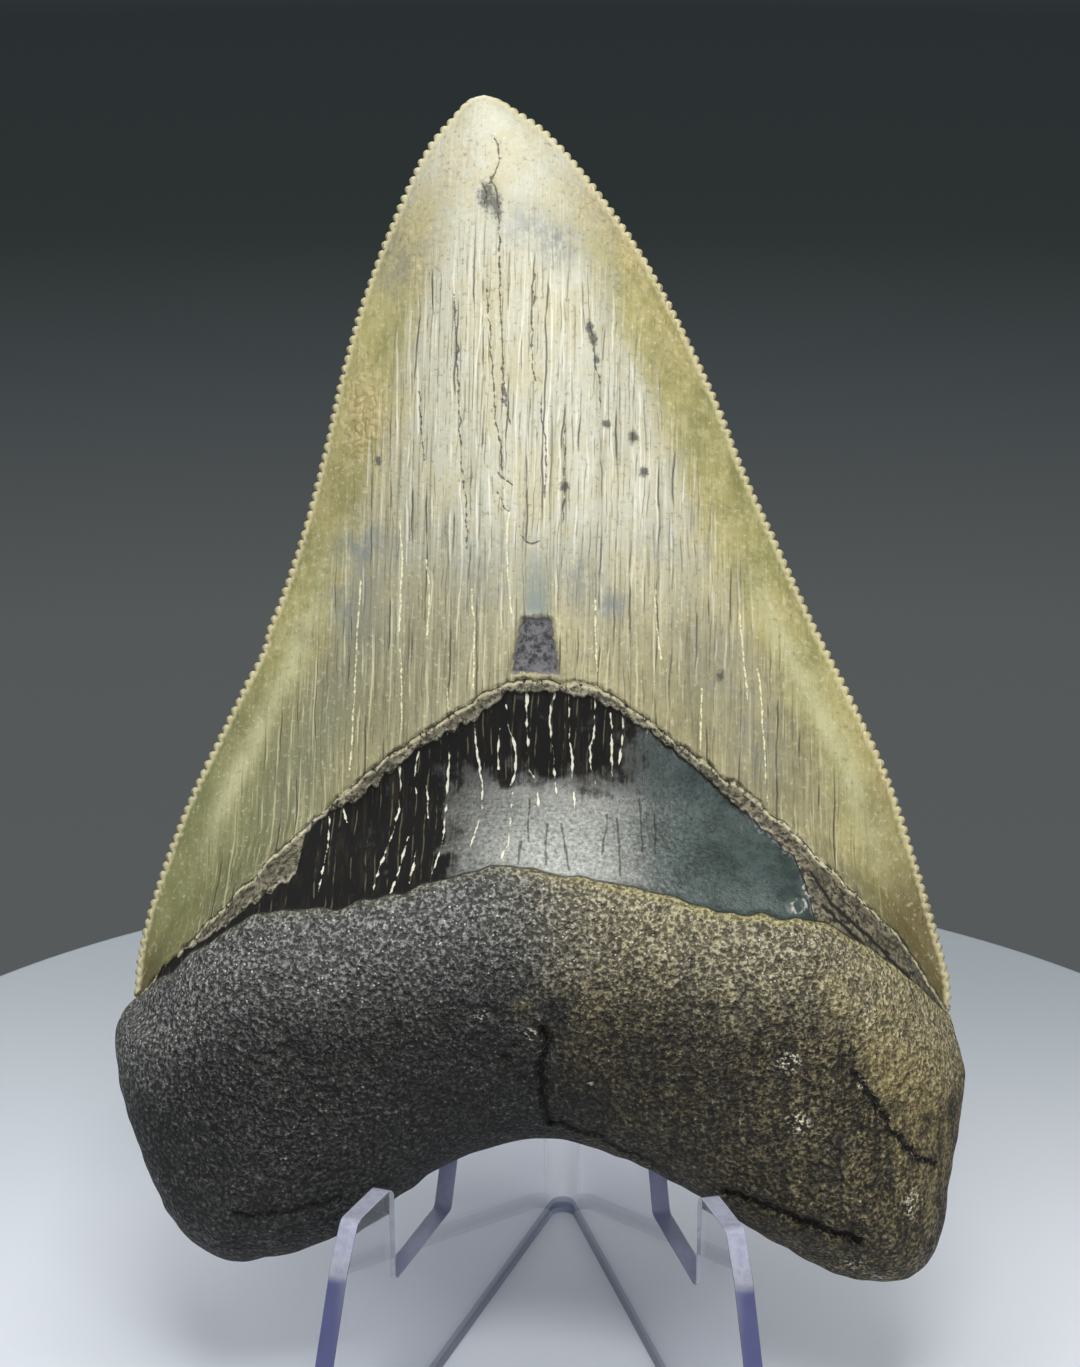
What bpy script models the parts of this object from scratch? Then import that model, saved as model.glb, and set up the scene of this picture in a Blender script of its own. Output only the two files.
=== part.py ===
"""Fossil shark tooth resting on a folded clear easel.

The tooth is one solid: a serrated crown, a smooth dark band under the enamel
and a thick rough root with two lobes.  It leans back in an easel cut from one
clear sheet and folded into a V, open to the front.

Lengths below are in millimetres and the finished mesh is in metres.  The
front is towards -Y.  The tooth is shaped on its own sheet of paper: ACROSS
runs to the right and UP runs towards the tip, with UP = 0 level with the
seat of the easel, and FORE is the height in front of the back rest.
"""
import math

import bmesh
import bpy
import numpy as np
from mathutils import Vector, noise
from mathutils.geometry import delaunay_2d_cdt

MM = 0.001

# Easel: one sheet, folded along an upright line, with a hook on each wing.
SHEET_THICK = 2.0
EASEL_HEIGHT = 70.0
LEAN = math.radians(20.0)
WING_ANGLE = math.radians(17.5)
FOLD_RADIUS = 2.4
FOLD_STEPS = 10
FOOT_REACH = 75.5
SEAT_HEIGHT = 18.2
SEAT_BACK = 35.4
HOOK_INNER = 51.1
HOOK_TOP_INNER = 29.3
HOOK_FRONT = 60.4
HOOK_TOP_FRONT = 30.2
HOOK_CHEEK = 63.4
HOOK_CHEEK_HEIGHT = 25.9
CORNER_ROUND = 1.4
TOP_ROUND = 6.0
EDGE_BREAK = 0.15

# Tooth: edge line of the crown, left side from the corner to the tip.
CROWN_LEFT = ((-45.6, 23.0), (-45.2, 29.0), (-43.1, 36.6), (-40.1, 44.8),
              (-37.0, 51.5), (-33.9, 58.0))
NOTCH = ((-33.2, 59.2), (-32.1, 61.8), (-31.9, 63.2))
CROWN_LEFT_UPPER = ((-30.4, 67.0), (-28.0, 74.7), (-26.0, 82.9),
                    (-24.3, 91.0), (-22.1, 99.2), (-19.2, 107.3),
                    (-15.6, 115.4), (-12.4, 119.6))
TIP = (-9.2, 121.7)
CROWN_RIGHT = ((-5.8, 120.3), (-2.2, 117.7), (2.3, 112.8), (8.1, 104.9),
               (12.7, 96.8), (16.6, 88.8), (19.9, 80.8), (23.7, 72.8),
               (27.5, 64.8), (31.7, 56.8), (35.6, 48.8), (38.4, 40.8),
               (40.9, 32.8), (42.5, 27.0), (42.6, 23.2))
# Root outline, clockwise from the right corner of the crown.
ROOT = ((43.3, 20.8), (44.2, 16.8), (43.5, 11.0), (42.6, 5.5), (42.0, 0.4),
        (39.9, -3.6), (36.6, -5.1), (31.3, -4.5), (24.8, -1.6), (18.3, 2.2),
        (11.8, 5.7), (5.3, 8.2), (0.0, 9.3), (-5.5, 8.5), (-11.9, 5.7),
        (-17.8, 1.4), (-24.8, -2.6), (-33.0, -4.6), (-37.8, -2.9),
        (-41.5, 1.4), (-43.8, 6.7), (-46.0, 12.8), (-47.3, 18.0),
        (-46.8, 21.2))

# Lines on the lingual face, left to right: where the enamel ends and where
# the rough root begins.
ENAMEL_LINE = ((-45.0, 23.4), (-37.1, 31.4), (-26.7, 42.1), (-18.3, 49.5),
               (-12.1, 53.8), (-6.8, 57.2), (-4.2, 58.3), (0.0, 58.2),
               (4.6, 57.6), (9.0, 54.9), (15.4, 50.2), (22.3, 45.3),
               (28.1, 40.0), (36.6, 31.8), (42.2, 23.8))
ROOT_LINE = ((-45.0, 22.9), (-40.8, 26.5), (-30.8, 33.2), (-22.3, 34.3),
             (-16.0, 36.0), (-5.5, 39.0), (0.0, 38.4), (9.3, 37.0),
             (18.8, 34.6), (28.2, 33.6), (36.6, 28.4), (42.2, 23.3))

# Relief.
BACK_GAP = 1.0
CROWN_EDGE_FORE = 3.5
ROOT_EDGE_FORE = 8.4
ROOT_THICK = 24.4
ROOT_THICK_DROP = 5.5
ROOT_ROUND = 16.8
ROOT_BACK_ROUND = 6.0
CROWN_BACK_ROUND = 9.0
CROWN_FULLNESS = 0.43
ENAMEL_STEP = 0.7
ROOT_STEP = 0.5
SCAR = (-4.9, -0.9, 58.4, 67.5)
SCAR_DEPTH = 0.6
SERRATION_PITCH = 1.09
SERRATION_HEIGHT = 0.46
OUTLINE_STEP = 1.5
# Rings of points inside the edge, each as (inset, spacing, least distance).
EDGE_RINGS = ((0.9, 2.2, 0.75), (2.0, 2.4, 1.6), (3.8, 3.0, 3.2), (6.4, 3.6, 5.6))
FIELD_PITCH = 3.6
FIELD_INSET = 8.0
LUMP_SIZE = 5.0
LUMP_HEIGHT = 0.45

# Deep cracks in the root, each as (points, half width, depth).
CRACKS = (
    (((-0.2, 22.8), (-0.5, 18.4), (-0.3, 15.2), (0.5, 12.4)), 0.9, 1.3),
    (((0.5, 12.4), (3.9, 11.4), (7.6, 9.6), (13.2, 6.4)), 0.8, 1.1),
    (((19.5, 5.2), (25.5, 3.2), (28.7, 2.0), (32.6, 0.6)), 0.9, 1.6),
    (((32.1, 17.7), (34.8, 13.9), (38.2, 9.8)), 0.6, 0.7),
    (((-32.1, 2.6), (-25.0, 3.1), (-21.3, 4.0)), 0.6, 0.7),
)


def clear_scene():
    for item in list(bpy.data.objects):
        bpy.data.objects.remove(item, do_unlink=True)


def new_collection(name):
    group = bpy.data.collections.new(name)
    bpy.context.scene.collection.children.link(group)
    return group


def material(name, colour, roughness, metallic=0.0, transmission=0.0, ior=1.5):
    made = bpy.data.materials.new(name)
    made.use_nodes = True
    shader = made.node_tree.nodes["Principled BSDF"]
    shader.inputs["Base Color"].default_value = (*colour, 1.0)
    shader.inputs["Roughness"].default_value = roughness
    shader.inputs["Metallic"].default_value = metallic
    shader.inputs["Transmission Weight"].default_value = transmission
    shader.inputs["IOR"].default_value = ior
    return made


def smoothstep(low, high, value):
    part = np.clip((value - low) / (high - low), 0.0, 1.0)
    return part * part * (3.0 - 2.0 * part)


def smooth_max(first, second, width):
    blend = np.clip(0.5 + 0.5 * (first - second) / width, 0.0, 1.0)
    return second + (first - second) * blend + width * blend * (1.0 - blend)


def through(points, step):
    """Round curve through the points, resampled to about one step."""
    knots = np.array(points, dtype=float)
    first = 2.0 * knots[0] - knots[1]
    last = 2.0 * knots[-1] - knots[-2]
    knots = np.vstack([first, knots, last])
    dense = []
    for index in range(1, len(knots) - 2):
        before, start, end, after = knots[index - 1:index + 3]
        for part in np.linspace(0.0, 1.0, 24, endpoint=False):
            dense.append(0.5 * (2.0 * start + (end - before) * part
                                + (2 * before - 5 * start + 4 * end - after) * part ** 2
                                + (3 * start - before - 3 * end + after) * part ** 3))
    dense.append(knots[-2])
    return resample(np.array(dense), step)


def resample(path, step):
    length = np.concatenate([[0.0], np.cumsum(np.hypot(*np.diff(path, axis=0).T))])
    count = max(2, int(round(length[-1] / step)) + 1)
    marks = np.linspace(0.0, length[-1], count)
    return np.column_stack([np.interp(marks, length, path[:, 0]),
                            np.interp(marks, length, path[:, 1])])


def crown_edges():
    """Smooth edge lines of the crown, both from the corner up to the tip."""
    left = through(CROWN_LEFT + NOTCH + CROWN_LEFT_UPPER + (TIP,), 0.5)
    right = through((TIP,) + CROWN_RIGHT, 0.5)[::-1]
    return left, right


def outward(path):
    """Unit normals on the left hand side of a path."""
    run = np.gradient(path, axis=0)
    run /= np.hypot(run[:, 0], run[:, 1])[:, None]
    return np.column_stack([-run[:, 1], run[:, 0]])


def serrate(path, near_tip):
    """Teeth of a saw along an edge: valley, crest, valley, crest ..."""
    length = np.hypot(*np.diff(path, axis=0).T).sum()
    count = 2 * int(round(length / SERRATION_PITCH))
    edge = resample(path, length / count)
    crest = np.where(np.arange(len(edge)) % 2 == 1, 0.5, -0.5)
    fade = smoothstep(0.0, 6.0, np.hypot(*(edge - near_tip).T))
    return edge + outward(edge) * (crest * SERRATION_HEIGHT * fade)[:, None]


def tooth_outline(left, right):
    """Closed outline, clockwise from the left corner of the crown."""
    tip = np.array(TIP)
    rise = serrate(left, tip)
    fall = serrate(right[::-1], tip)
    root = through((CROWN_RIGHT[-1],) + ROOT + (CROWN_LEFT[0],), OUTLINE_STEP)
    return np.vstack([rise, fall[1:], root[1:-1]])


def distance_to(outline, points):
    """Distance of each point to a closed outline."""
    start = outline
    run = np.roll(outline, -1, axis=0) - start
    square = (run ** 2).sum(axis=1)
    best = np.full(len(points), 1e9)
    for head, step, size in zip(start, run, square):
        along = np.clip(((points - head) @ step) / size, 0.0, 1.0)
        gap = points - head - along[:, None] * step
        best = np.minimum(best, np.hypot(gap[:, 0], gap[:, 1]))
    return best


def is_inside(outline, points):
    """Even-odd test of each point against a closed outline."""
    inside = np.zeros(len(points), dtype=bool)
    across, up = points.T
    for (ax, ay), (bx, by) in zip(outline, np.roll(outline, -1, axis=0)):
        spans = (ay > up) != (by > up)
        if not spans.any():
            continue
        cross = ax + (up - ay) * (bx - ax) / (by - ay if by != ay else 1e-12)
        inside ^= spans & (across < cross)
    return inside


def line_height(line, across):
    knots = np.array(line)
    return np.interp(across, knots[:, 0], knots[:, 1])


def groove(points, path, half_width, depth):
    """Depth of a V-shaped crack along a path, tapering at its ends."""
    cut = np.zeros(len(points))
    knots = np.array(path)
    for start, end in zip(knots[:-1], knots[1:]):
        run = end - start
        along = np.clip(((points - start) @ run) / (run @ run), 0.0, 1.0)
        gap = points - start - along[:, None] * run
        away = np.hypot(gap[:, 0], gap[:, 1])
        cut = np.maximum(cut, depth * np.clip(1.0 - away / half_width, 0.0, 1.0))
    return cut


def lumps(points, fore):
    spots = [noise.noise(Vector((x / LUMP_SIZE, y / LUMP_SIZE, fore)))
             + 0.5 * noise.noise(Vector((x / 2.1, y / 2.1, fore + 7.0)))
             for x, y in points]
    return LUMP_HEIGHT * np.array(spots)


def relief(points, outline, left, right):
    """Height of the lingual face and of the labial face over the back rest."""
    across, up = points.T
    rim = distance_to(outline, points)
    lower = np.interp(up, left[:, 1], left[:, 0])
    upper = np.interp(up, right[:, 1], right[:, 0])
    middle = 0.5 * (lower + upper)
    half = np.maximum(0.5 * (upper - lower), 0.6)
    side = np.clip(np.abs(across - middle) / half, 0.0, 1.0)
    in_root = 1.0 - smoothstep(12.0, 30.0, up)
    edge = CROWN_EDGE_FORE + (ROOT_EDGE_FORE - CROWN_EDGE_FORE) * in_root
    thin = 0.5 * np.minimum(rim, 0.7)

    crown = CROWN_FULLNESS * half / (1.0 + half / 80.0) * (1.0 - side ** 2.2)
    crown *= smoothstep(6.0, 28.0, up)
    over_root = up - line_height(ROOT_LINE, across)
    over_enamel = up - line_height(ENAMEL_LINE, across)
    full = ROOT_THICK - ROOT_THICK_DROP * (across / 45.0) ** 2 - edge
    turn = 1.0 - np.minimum(rim / ROOT_ROUND, 1.0)
    swell = full * np.sqrt(1.0 - turn ** 2)
    ramp = 0.042 * np.maximum(over_root + 8.0, 0.0) ** 2
    bulge = np.maximum(swell - ramp, 0.0)
    front = smooth_max(bulge, crown, np.clip(0.5 * bulge, 0.05, 3.0))

    on_root = 1.0 - smoothstep(-0.25, 0.25, over_root)
    on_band = (1.0 - smoothstep(-0.25, 0.25, over_enamel)) * (1.0 - on_root)
    inland = smoothstep(0.5, 2.5, rim)
    rough = lumps(points, 0.0) * on_root * inland
    scar = ((across > SCAR[0]) & (across < SCAR[1])
            & (up > SCAR[2]) & (up < SCAR[3])) * SCAR_DEPTH
    front += inland * (rough + ROOT_STEP * on_root - ENAMEL_STEP * on_band) - scar
    for path, half_width, depth in CRACKS:
        front -= groove(points, path, half_width, depth) * inland

    crown_back = (1.0 - np.minimum(rim / CROWN_BACK_ROUND, 1.0)) ** 2
    root_turn = 1.0 - np.minimum(rim / ROOT_BACK_ROUND, 1.0)
    root_back = 1.0 - np.sqrt(1.0 - root_turn ** 2)
    blend = 1.0 - smoothstep(20.0, 32.0, up)
    fall = crown_back + (root_back - crown_back) * blend
    dimple = np.abs(lumps(points, 30.0)) * blend * inland
    back = BACK_GAP + (edge - BACK_GAP) * fall + dimple
    return edge, edge + front + thin, np.minimum(back, edge) - thin


def field_points(outline, left, right):
    """Points inside the outline: dense at the edge, sparse in the middle."""
    smooth = np.vstack([left, right[::-1][1:],
                        through((CROWN_RIGHT[-1],) + ROOT + (CROWN_LEFT[0],), 1.0)[1:-1]])
    clouds = []
    for inset, spacing, least in EDGE_RINGS:
        ring = resample(np.vstack([smooth, smooth[:1]]), spacing)[:-1]
        clouds.append((ring - outward(ring) * inset, least))
    low, high = smooth.min(axis=0), smooth.max(axis=0)
    for index, height in enumerate(np.arange(low[1], high[1], FIELD_PITCH * 0.866)):
        shift = 0.5 * FIELD_PITCH * (index % 2)
        row = np.arange(low[0] + shift, high[0], FIELD_PITCH)
        clouds.append((np.column_stack([row, np.full(len(row), height)]), FIELD_INSET))
    kept = []
    for cloud, least in clouds:
        cloud = cloud[is_inside(outline, cloud)]
        if len(cloud):
            kept.append(cloud[distance_to(smooth, cloud) > least])
    return kept


def feature_paths():
    """Lines that the mesh must follow: ledges, scar and cracks."""
    paths = []
    span = np.arange(-42.6, 40.6, 1.6)
    for line in (ENAMEL_LINE, ROOT_LINE):
        for offset in (-0.27, 0.27):
            paths.append(np.column_stack([span, line_height(line, span) + offset]))
    low, high, foot, head = SCAR
    for grow in (-0.15, 0.15):
        box = ((low - grow, foot + 0.6), (low - grow, head + grow),
               (high + grow, head + grow), (high + grow, foot + 0.6))
        paths.append(np.array(box))
    for points, half_width, _ in CRACKS:
        spine = through(points, 1.4)
        side = outward(spine)
        paths += [spine, spine + side * half_width, spine - side * half_width]
    return paths


def thin_near(cloud, fixed, least):
    keep = [point for point in cloud
            if np.hypot(*(fixed - point).T).min() > least]
    return np.array(keep).reshape(-1, 2)


def triangulate(outline, left, right):
    """Mesh of the outline on its sheet of paper, edge vertices marked."""
    paths = feature_paths()
    fixed = np.vstack(paths)
    clouds = [thin_near(cloud, fixed, 0.55) for cloud in field_points(outline, left, right)]
    verts = [tuple(point) for point in outline]
    edges = [(i, (i + 1) % len(outline)) for i in range(len(outline))]
    for path in paths:
        first = len(verts)
        verts += [tuple(point) for point in path]
        edges += [(first + i, first + i + 1) for i in range(len(path) - 1)]
    for cloud in clouds:
        verts += [tuple(point) for point in cloud]
    while True:
        spots, _, faces, *_ = delaunay_2d_cdt(
            [Vector(point) for point in verts], edges, [], 0, 1e-6, False)
        flat = np.array([tuple(point) for point in spots])
        within = is_inside(outline, flat[np.array(faces)].mean(axis=1))
        faces = [face for face, kept in zip(faces, within) if kept]
        used = {}
        for face in faces:
            for one, two in zip(face, face[1:] + face[:1]):
                key = (min(one, two), max(one, two))
                used[key] = used.get(key, 0) + 1
        rim = {index for key, times in used.items() if times == 1 for index in key}
        bridges = [key for key, times in used.items()
                   if times > 1 and key[0] in rim and key[1] in rim]
        if not bridges:
            return flat, faces, rim
        verts += [tuple(0.5 * (flat[one] + flat[two])) for one, two in bridges]


def place(across, up, fore):
    """Sheet of paper to the room: lean back and stand in the easel."""
    back = -(SEAT_BACK - wing_start()) * math.cos(WING_ANGLE)
    y = back + up * math.sin(LEAN) - fore * math.cos(LEAN)
    z = SEAT_HEIGHT + up * math.cos(LEAN) + fore * math.sin(LEAN)
    return Vector((across * MM, y * MM, z * MM))


def face_outwards(mesh):
    bmesh.ops.recalc_face_normals(mesh, faces=mesh.faces)
    if mesh.calc_volume(signed=True) < 0.0:
        bmesh.ops.reverse_faces(mesh, faces=mesh.faces)


def make_tooth(group, paint):
    left, right = crown_edges()
    outline = tooth_outline(left, right)
    flat, faces, rim = triangulate(outline, left, right)
    edge, front, back = relief(flat, outline, left, right)
    mesh = bmesh.new()
    fore_verts = []
    back_verts = []
    for index, (across, up) in enumerate(flat):
        if index in rim:
            shared = mesh.verts.new(place(across, up, edge[index]))
            fore_verts.append(shared)
            back_verts.append(shared)
        else:
            fore_verts.append(mesh.verts.new(place(across, up, front[index])))
            back_verts.append(mesh.verts.new(place(across, up, back[index])))
    for face in faces:
        mesh.faces.new([fore_verts[index] for index in face])
        mesh.faces.new([back_verts[index] for index in reversed(face)])
    face_outwards(mesh)
    data = bpy.data.meshes.new("tooth")
    mesh.to_mesh(data)
    mesh.free()
    data.materials.append(paint)
    tooth = bpy.data.objects.new("tooth", data)
    group.objects.link(tooth)
    return tooth


def fold_arc():
    """Angle that each wing turns through at the fold."""
    return 0.5 * math.pi - WING_ANGLE


def wing_start():
    """Length along the sheet that the fold adds before a straight wing."""
    arc = FOLD_RADIUS * fold_arc()
    return arc - FOLD_RADIUS * (1.0 - math.sin(WING_ANGLE)) / math.cos(WING_ANGLE)


def arc_corner(before, corner, after, radius, steps=4):
    """Points that round one corner of an outline."""
    corner = np.array(corner)
    one = np.array(before) - corner
    two = np.array(after) - corner
    one /= np.hypot(*one)
    two /= np.hypot(*two)
    half = 0.5 * math.acos(float(np.clip(one @ two, -1.0, 1.0)))
    bisector = (one + two) / np.hypot(*(one + two))
    centre = corner + bisector * radius / math.sin(half)
    start = corner + one * radius / math.tan(half) - centre
    end = corner + two * radius / math.tan(half) - centre
    sweep = math.atan2(start[0] * end[1] - start[1] * end[0], start @ end)
    turned = []
    for part in np.linspace(0.0, sweep, steps + 1):
        cosine, sine = math.cos(part), math.sin(part)
        turned.append(tuple(centre + (start[0] * cosine - start[1] * sine,
                                      start[0] * sine + start[1] * cosine)))
    return turned


def easel_blank():
    """Right half of the flat sheet as (along, height) corners."""
    rest_top = SEAT_BACK - (EASEL_HEIGHT - SEAT_HEIGHT) * math.tan(LEAN) / math.cos(WING_ANGLE)
    corners = (
        ((FOOT_REACH, 0.0), 0.6),
        ((HOOK_CHEEK, HOOK_CHEEK_HEIGHT), 2.0),
        ((HOOK_FRONT, HOOK_TOP_FRONT), CORNER_ROUND),
        ((HOOK_INNER, HOOK_TOP_INNER), CORNER_ROUND),
        ((HOOK_INNER, SEAT_HEIGHT), 0.8),
        ((SEAT_BACK, SEAT_HEIGHT), 0.8),
        ((rest_top, EASEL_HEIGHT), TOP_ROUND),
    )
    spots = [(0.0, 0.0)] + [spot for spot, _ in corners] + [(0.0, EASEL_HEIGHT)]
    half = []
    for index, (spot, radius) in enumerate(corners, start=1):
        half += arc_corner(spots[index - 1], spot, spots[index + 1], radius)
    return half


def fold(point):
    """Bend the flat sheet into the V."""
    along, height, depth = point
    side = math.copysign(1.0, along)
    turn = min(abs(along) / FOLD_RADIUS, fold_arc())
    rest = max(abs(along) - FOLD_RADIUS * fold_arc(), 0.0)
    radius = FOLD_RADIUS + depth
    x = radius * math.sin(turn) + rest * math.cos(turn)
    y = -FOLD_RADIUS + radius * math.cos(turn) - rest * math.sin(turn)
    return Vector((side * x * MM, y * MM, height * MM))


def make_easel(group, paint):
    half = easel_blank()
    loop = half + [(-along, height) for along, height in reversed(half)]
    curve = bpy.data.curves.new("easel outline", "CURVE")
    curve.dimensions = "2D"
    curve.fill_mode = "BOTH"
    curve.extrude = 0.5 * SHEET_THICK
    spline = curve.splines.new("POLY")
    spline.points.add(len(loop) - 1)
    for knot, (along, height) in zip(spline.points, loop):
        knot.co = (along, height, 0.0, 1.0)
    spline.use_cyclic_u = True
    blank = bpy.data.objects.new("easel blank", curve)
    group.objects.link(blank)
    flat = bpy.data.meshes.new_from_object(blank)
    bpy.data.objects.remove(blank, do_unlink=True)

    mesh = bmesh.new()
    mesh.from_mesh(flat)
    bmesh.ops.remove_doubles(mesh, verts=mesh.verts, dist=0.0001)
    reach = FOLD_RADIUS * fold_arc()
    for mark in np.linspace(-reach, reach, 2 * FOLD_STEPS + 1):
        everything = list(mesh.verts) + list(mesh.edges) + list(mesh.faces)
        bmesh.ops.bisect_plane(mesh, geom=everything, plane_co=(mark, 0.0, 0.0),
                               plane_no=(1.0, 0.0, 0.0))
    for vert in mesh.verts:
        vert.co = fold(vert.co)
    face_outwards(mesh)
    data = bpy.data.meshes.new("stand")
    mesh.to_mesh(data)
    mesh.free()
    data.materials.append(paint)
    stand = bpy.data.objects.new("stand", data)
    group.objects.link(stand)
    bevel = stand.modifiers.new("broken edges", "BEVEL")
    bevel.width = EDGE_BREAK * MM
    bevel.segments = 1
    bevel.limit_method = "ANGLE"
    bevel.angle_limit = math.radians(50.0)
    return stand


def centre_on_floor(parts):
    """Move the parts so that the middle of their box stands on the origin."""
    spots = [part.matrix_world @ vert.co for part in parts for vert in part.data.vertices]
    middle_x = 0.5 * (min(s.x for s in spots) + max(s.x for s in spots))
    middle_y = 0.5 * (min(s.y for s in spots) + max(s.y for s in spots))
    floor = min(s.z for s in spots)
    for part in parts:
        for vert in part.data.vertices:
            vert.co -= Vector((middle_x, middle_y, floor))


def main():
    clear_scene()
    group = new_collection("megalodon tooth on stand")
    fossil = material("fossil tooth", (0.36, 0.34, 0.26), 0.45)
    clear = material("clear acrylic", (0.86, 0.88, 0.96), 0.06, transmission=1.0, ior=1.49)
    tooth = make_tooth(group, fossil)
    stand = make_easel(group, clear)
    centre_on_floor((tooth, stand))


main()
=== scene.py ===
import math

import bpy
import numpy as np
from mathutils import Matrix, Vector, noise
from mathutils.geometry import delaunay_2d_cdt


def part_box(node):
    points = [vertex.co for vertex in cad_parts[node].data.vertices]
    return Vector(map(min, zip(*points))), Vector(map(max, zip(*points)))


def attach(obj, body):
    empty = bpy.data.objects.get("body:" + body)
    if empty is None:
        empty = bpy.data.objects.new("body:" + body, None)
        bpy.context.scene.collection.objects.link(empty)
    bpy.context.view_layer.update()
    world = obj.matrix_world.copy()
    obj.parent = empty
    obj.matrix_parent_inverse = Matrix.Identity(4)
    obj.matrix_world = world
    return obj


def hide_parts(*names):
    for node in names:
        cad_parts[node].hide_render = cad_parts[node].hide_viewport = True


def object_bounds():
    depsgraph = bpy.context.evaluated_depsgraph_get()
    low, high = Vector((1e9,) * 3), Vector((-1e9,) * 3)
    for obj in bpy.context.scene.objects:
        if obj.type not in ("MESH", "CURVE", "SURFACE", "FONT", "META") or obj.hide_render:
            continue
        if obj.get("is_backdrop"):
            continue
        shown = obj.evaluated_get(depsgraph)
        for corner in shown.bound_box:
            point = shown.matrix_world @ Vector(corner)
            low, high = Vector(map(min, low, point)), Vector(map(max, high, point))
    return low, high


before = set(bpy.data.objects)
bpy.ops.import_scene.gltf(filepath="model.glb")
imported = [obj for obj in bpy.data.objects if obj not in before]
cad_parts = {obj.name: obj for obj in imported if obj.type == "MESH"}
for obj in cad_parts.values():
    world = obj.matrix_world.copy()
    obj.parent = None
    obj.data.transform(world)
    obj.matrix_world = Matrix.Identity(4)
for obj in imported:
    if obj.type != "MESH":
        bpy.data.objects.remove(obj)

cad_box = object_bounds()
MM = 0.001

# Where the tooth leans: the sheet of paper that it is shaped on, in mm.
# ACROSS runs right, UP towards the tip, FORE out of the lingual face.
LEAN = math.radians(20.0)
WING_ANGLE = math.radians(17.5)
SHEET_THICK = 2.0
FOLD_RADIUS = 2.4
SEAT_HEIGHT = 18.2
SEAT_BACK = 35.4

# Edge line of the crown, left side from the corner to the tip.
CROWN_LEFT = ((-45.6, 23.0), (-45.2, 29.0), (-43.1, 36.6), (-40.1, 44.8),
              (-37.0, 51.5), (-33.9, 58.0))
NOTCH = ((-33.2, 59.2), (-32.1, 61.8), (-31.9, 63.2))
CROWN_LEFT_UPPER = ((-30.4, 67.0), (-28.0, 74.7), (-26.0, 82.9),
                    (-24.3, 91.0), (-22.1, 99.2), (-19.2, 107.3),
                    (-15.6, 115.4), (-12.4, 119.6), (-11.3, 120.9), (-10.4, 121.5))
TIP = (-9.2, 121.8)
CROWN_RIGHT = ((-8.0, 121.5), (-6.9, 121.0), (-5.6, 120.1), (-2.2, 117.7),
               (2.3, 112.8), (8.1, 104.9), (12.7, 96.8), (16.6, 88.8), (19.9, 80.8), (23.7, 72.8),
               (27.5, 64.8), (31.7, 56.8), (35.6, 48.8), (38.4, 40.8),
               (40.9, 32.8), (42.5, 27.0), (42.6, 23.2))
ROOT = ((43.3, 20.8), (44.2, 16.8), (43.5, 11.0), (42.6, 5.5), (42.0, 0.4),
        (39.9, -3.6), (36.6, -5.1), (31.3, -4.5), (24.8, -1.6), (18.3, 2.2),
        (11.8, 5.7), (5.3, 8.2), (0.0, 9.3), (-5.5, 8.5), (-11.9, 5.7),
        (-17.8, 1.4), (-24.8, -2.6), (-33.0, -4.6), (-37.8, -2.9),
        (-41.5, 1.4), (-43.8, 6.7), (-46.0, 12.8), (-47.3, 18.0),
        (-46.8, 21.2))

# Where the enamel ends and where the rough root begins, left to right.
ENAMEL_LINE = ((-45.0, 23.4), (-37.1, 31.4), (-26.7, 42.1), (-18.3, 49.5),
               (-12.1, 53.8), (-6.8, 57.2), (-4.2, 58.3), (0.0, 58.2),
               (4.6, 57.6), (9.0, 54.9), (15.4, 50.2), (22.3, 45.3),
               (28.1, 40.0), (36.6, 31.8), (42.2, 23.8))
ROOT_LINE = ((-45.0, 22.9), (-40.8, 26.5), (-30.8, 33.2), (-22.3, 34.3),
             (-16.0, 36.0), (-5.5, 39.0), (0.0, 38.4), (9.3, 37.0),
             (18.8, 34.6), (28.2, 33.6), (36.6, 28.4), (42.2, 23.3))
LABIAL_LINE = ((-46.0, 24.0), (-30.0, 29.0), (-12.0, 35.0), (0.0, 37.0),
               (12.0, 35.0), (28.0, 29.0), (43.0, 24.0))
# Lower edge of the rough strip that is left between the enamel and the dark band.
STRIP_LINE = ((-45.0, 22.0), (-43.5, 24.2), (-41.7, 26.9), (-39.8, 28.4), (-35.8, 30.7),
              (-31.3, 34.3), (-26.7, 37.5), (-26.4, 41.6), (-23.9, 44.0), (-21.1, 45.1),
              (-18.3, 47.5), (-14.4, 50.9), (-8.8, 53.8), (-4.9, 57.0), (-0.2, 57.1),
              (4.0, 56.5), (9.4, 53.5), (13.9, 50.1), (18.4, 46.1), (23.5, 41.8),
              (26.0, 39.3), (26.7, 36.8), (28.4, 30.0), (43.0, 18.0))

# Relief.
BACK_GAP = 1.0
CROWN_EDGE_FORE = 3.5
ROOT_EDGE_FORE = 8.4
ROOT_THICK = 24.4
ROOT_THICK_DROP = 5.5
ROOT_ROUND = 16.8
ROOT_BACK_ROUND = 6.0
CROWN_BACK_ROUND = 9.0
CROWN_FULLNESS = 0.43
CROWN_FLATTENING = 80.0
CROWN_ARCH_POWER = 2.2
ROOT_HALF_WIDTH = 45.0
ROOT_RAMP = 0.042
ROOT_RAMP_BELOW = 8.0
ENAMEL_STEP = 0.7
ROOT_STEP = 0.5
SCAR = ((-4.9, 58.9), (-3.8, 64.9), (-0.5, 64.9), (0.5, 58.9))
SCAR_DEPTH = 0.6
TROUGH_DEPTH = 0.25
TROUGH_MIDDLE = -2.2
TROUGH_HALF_WIDTH = 1.5
SERRATION_PITCH = 1.09
SERRATION_HEIGHT = 0.46
SERRATION_POINTS = 8
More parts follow.
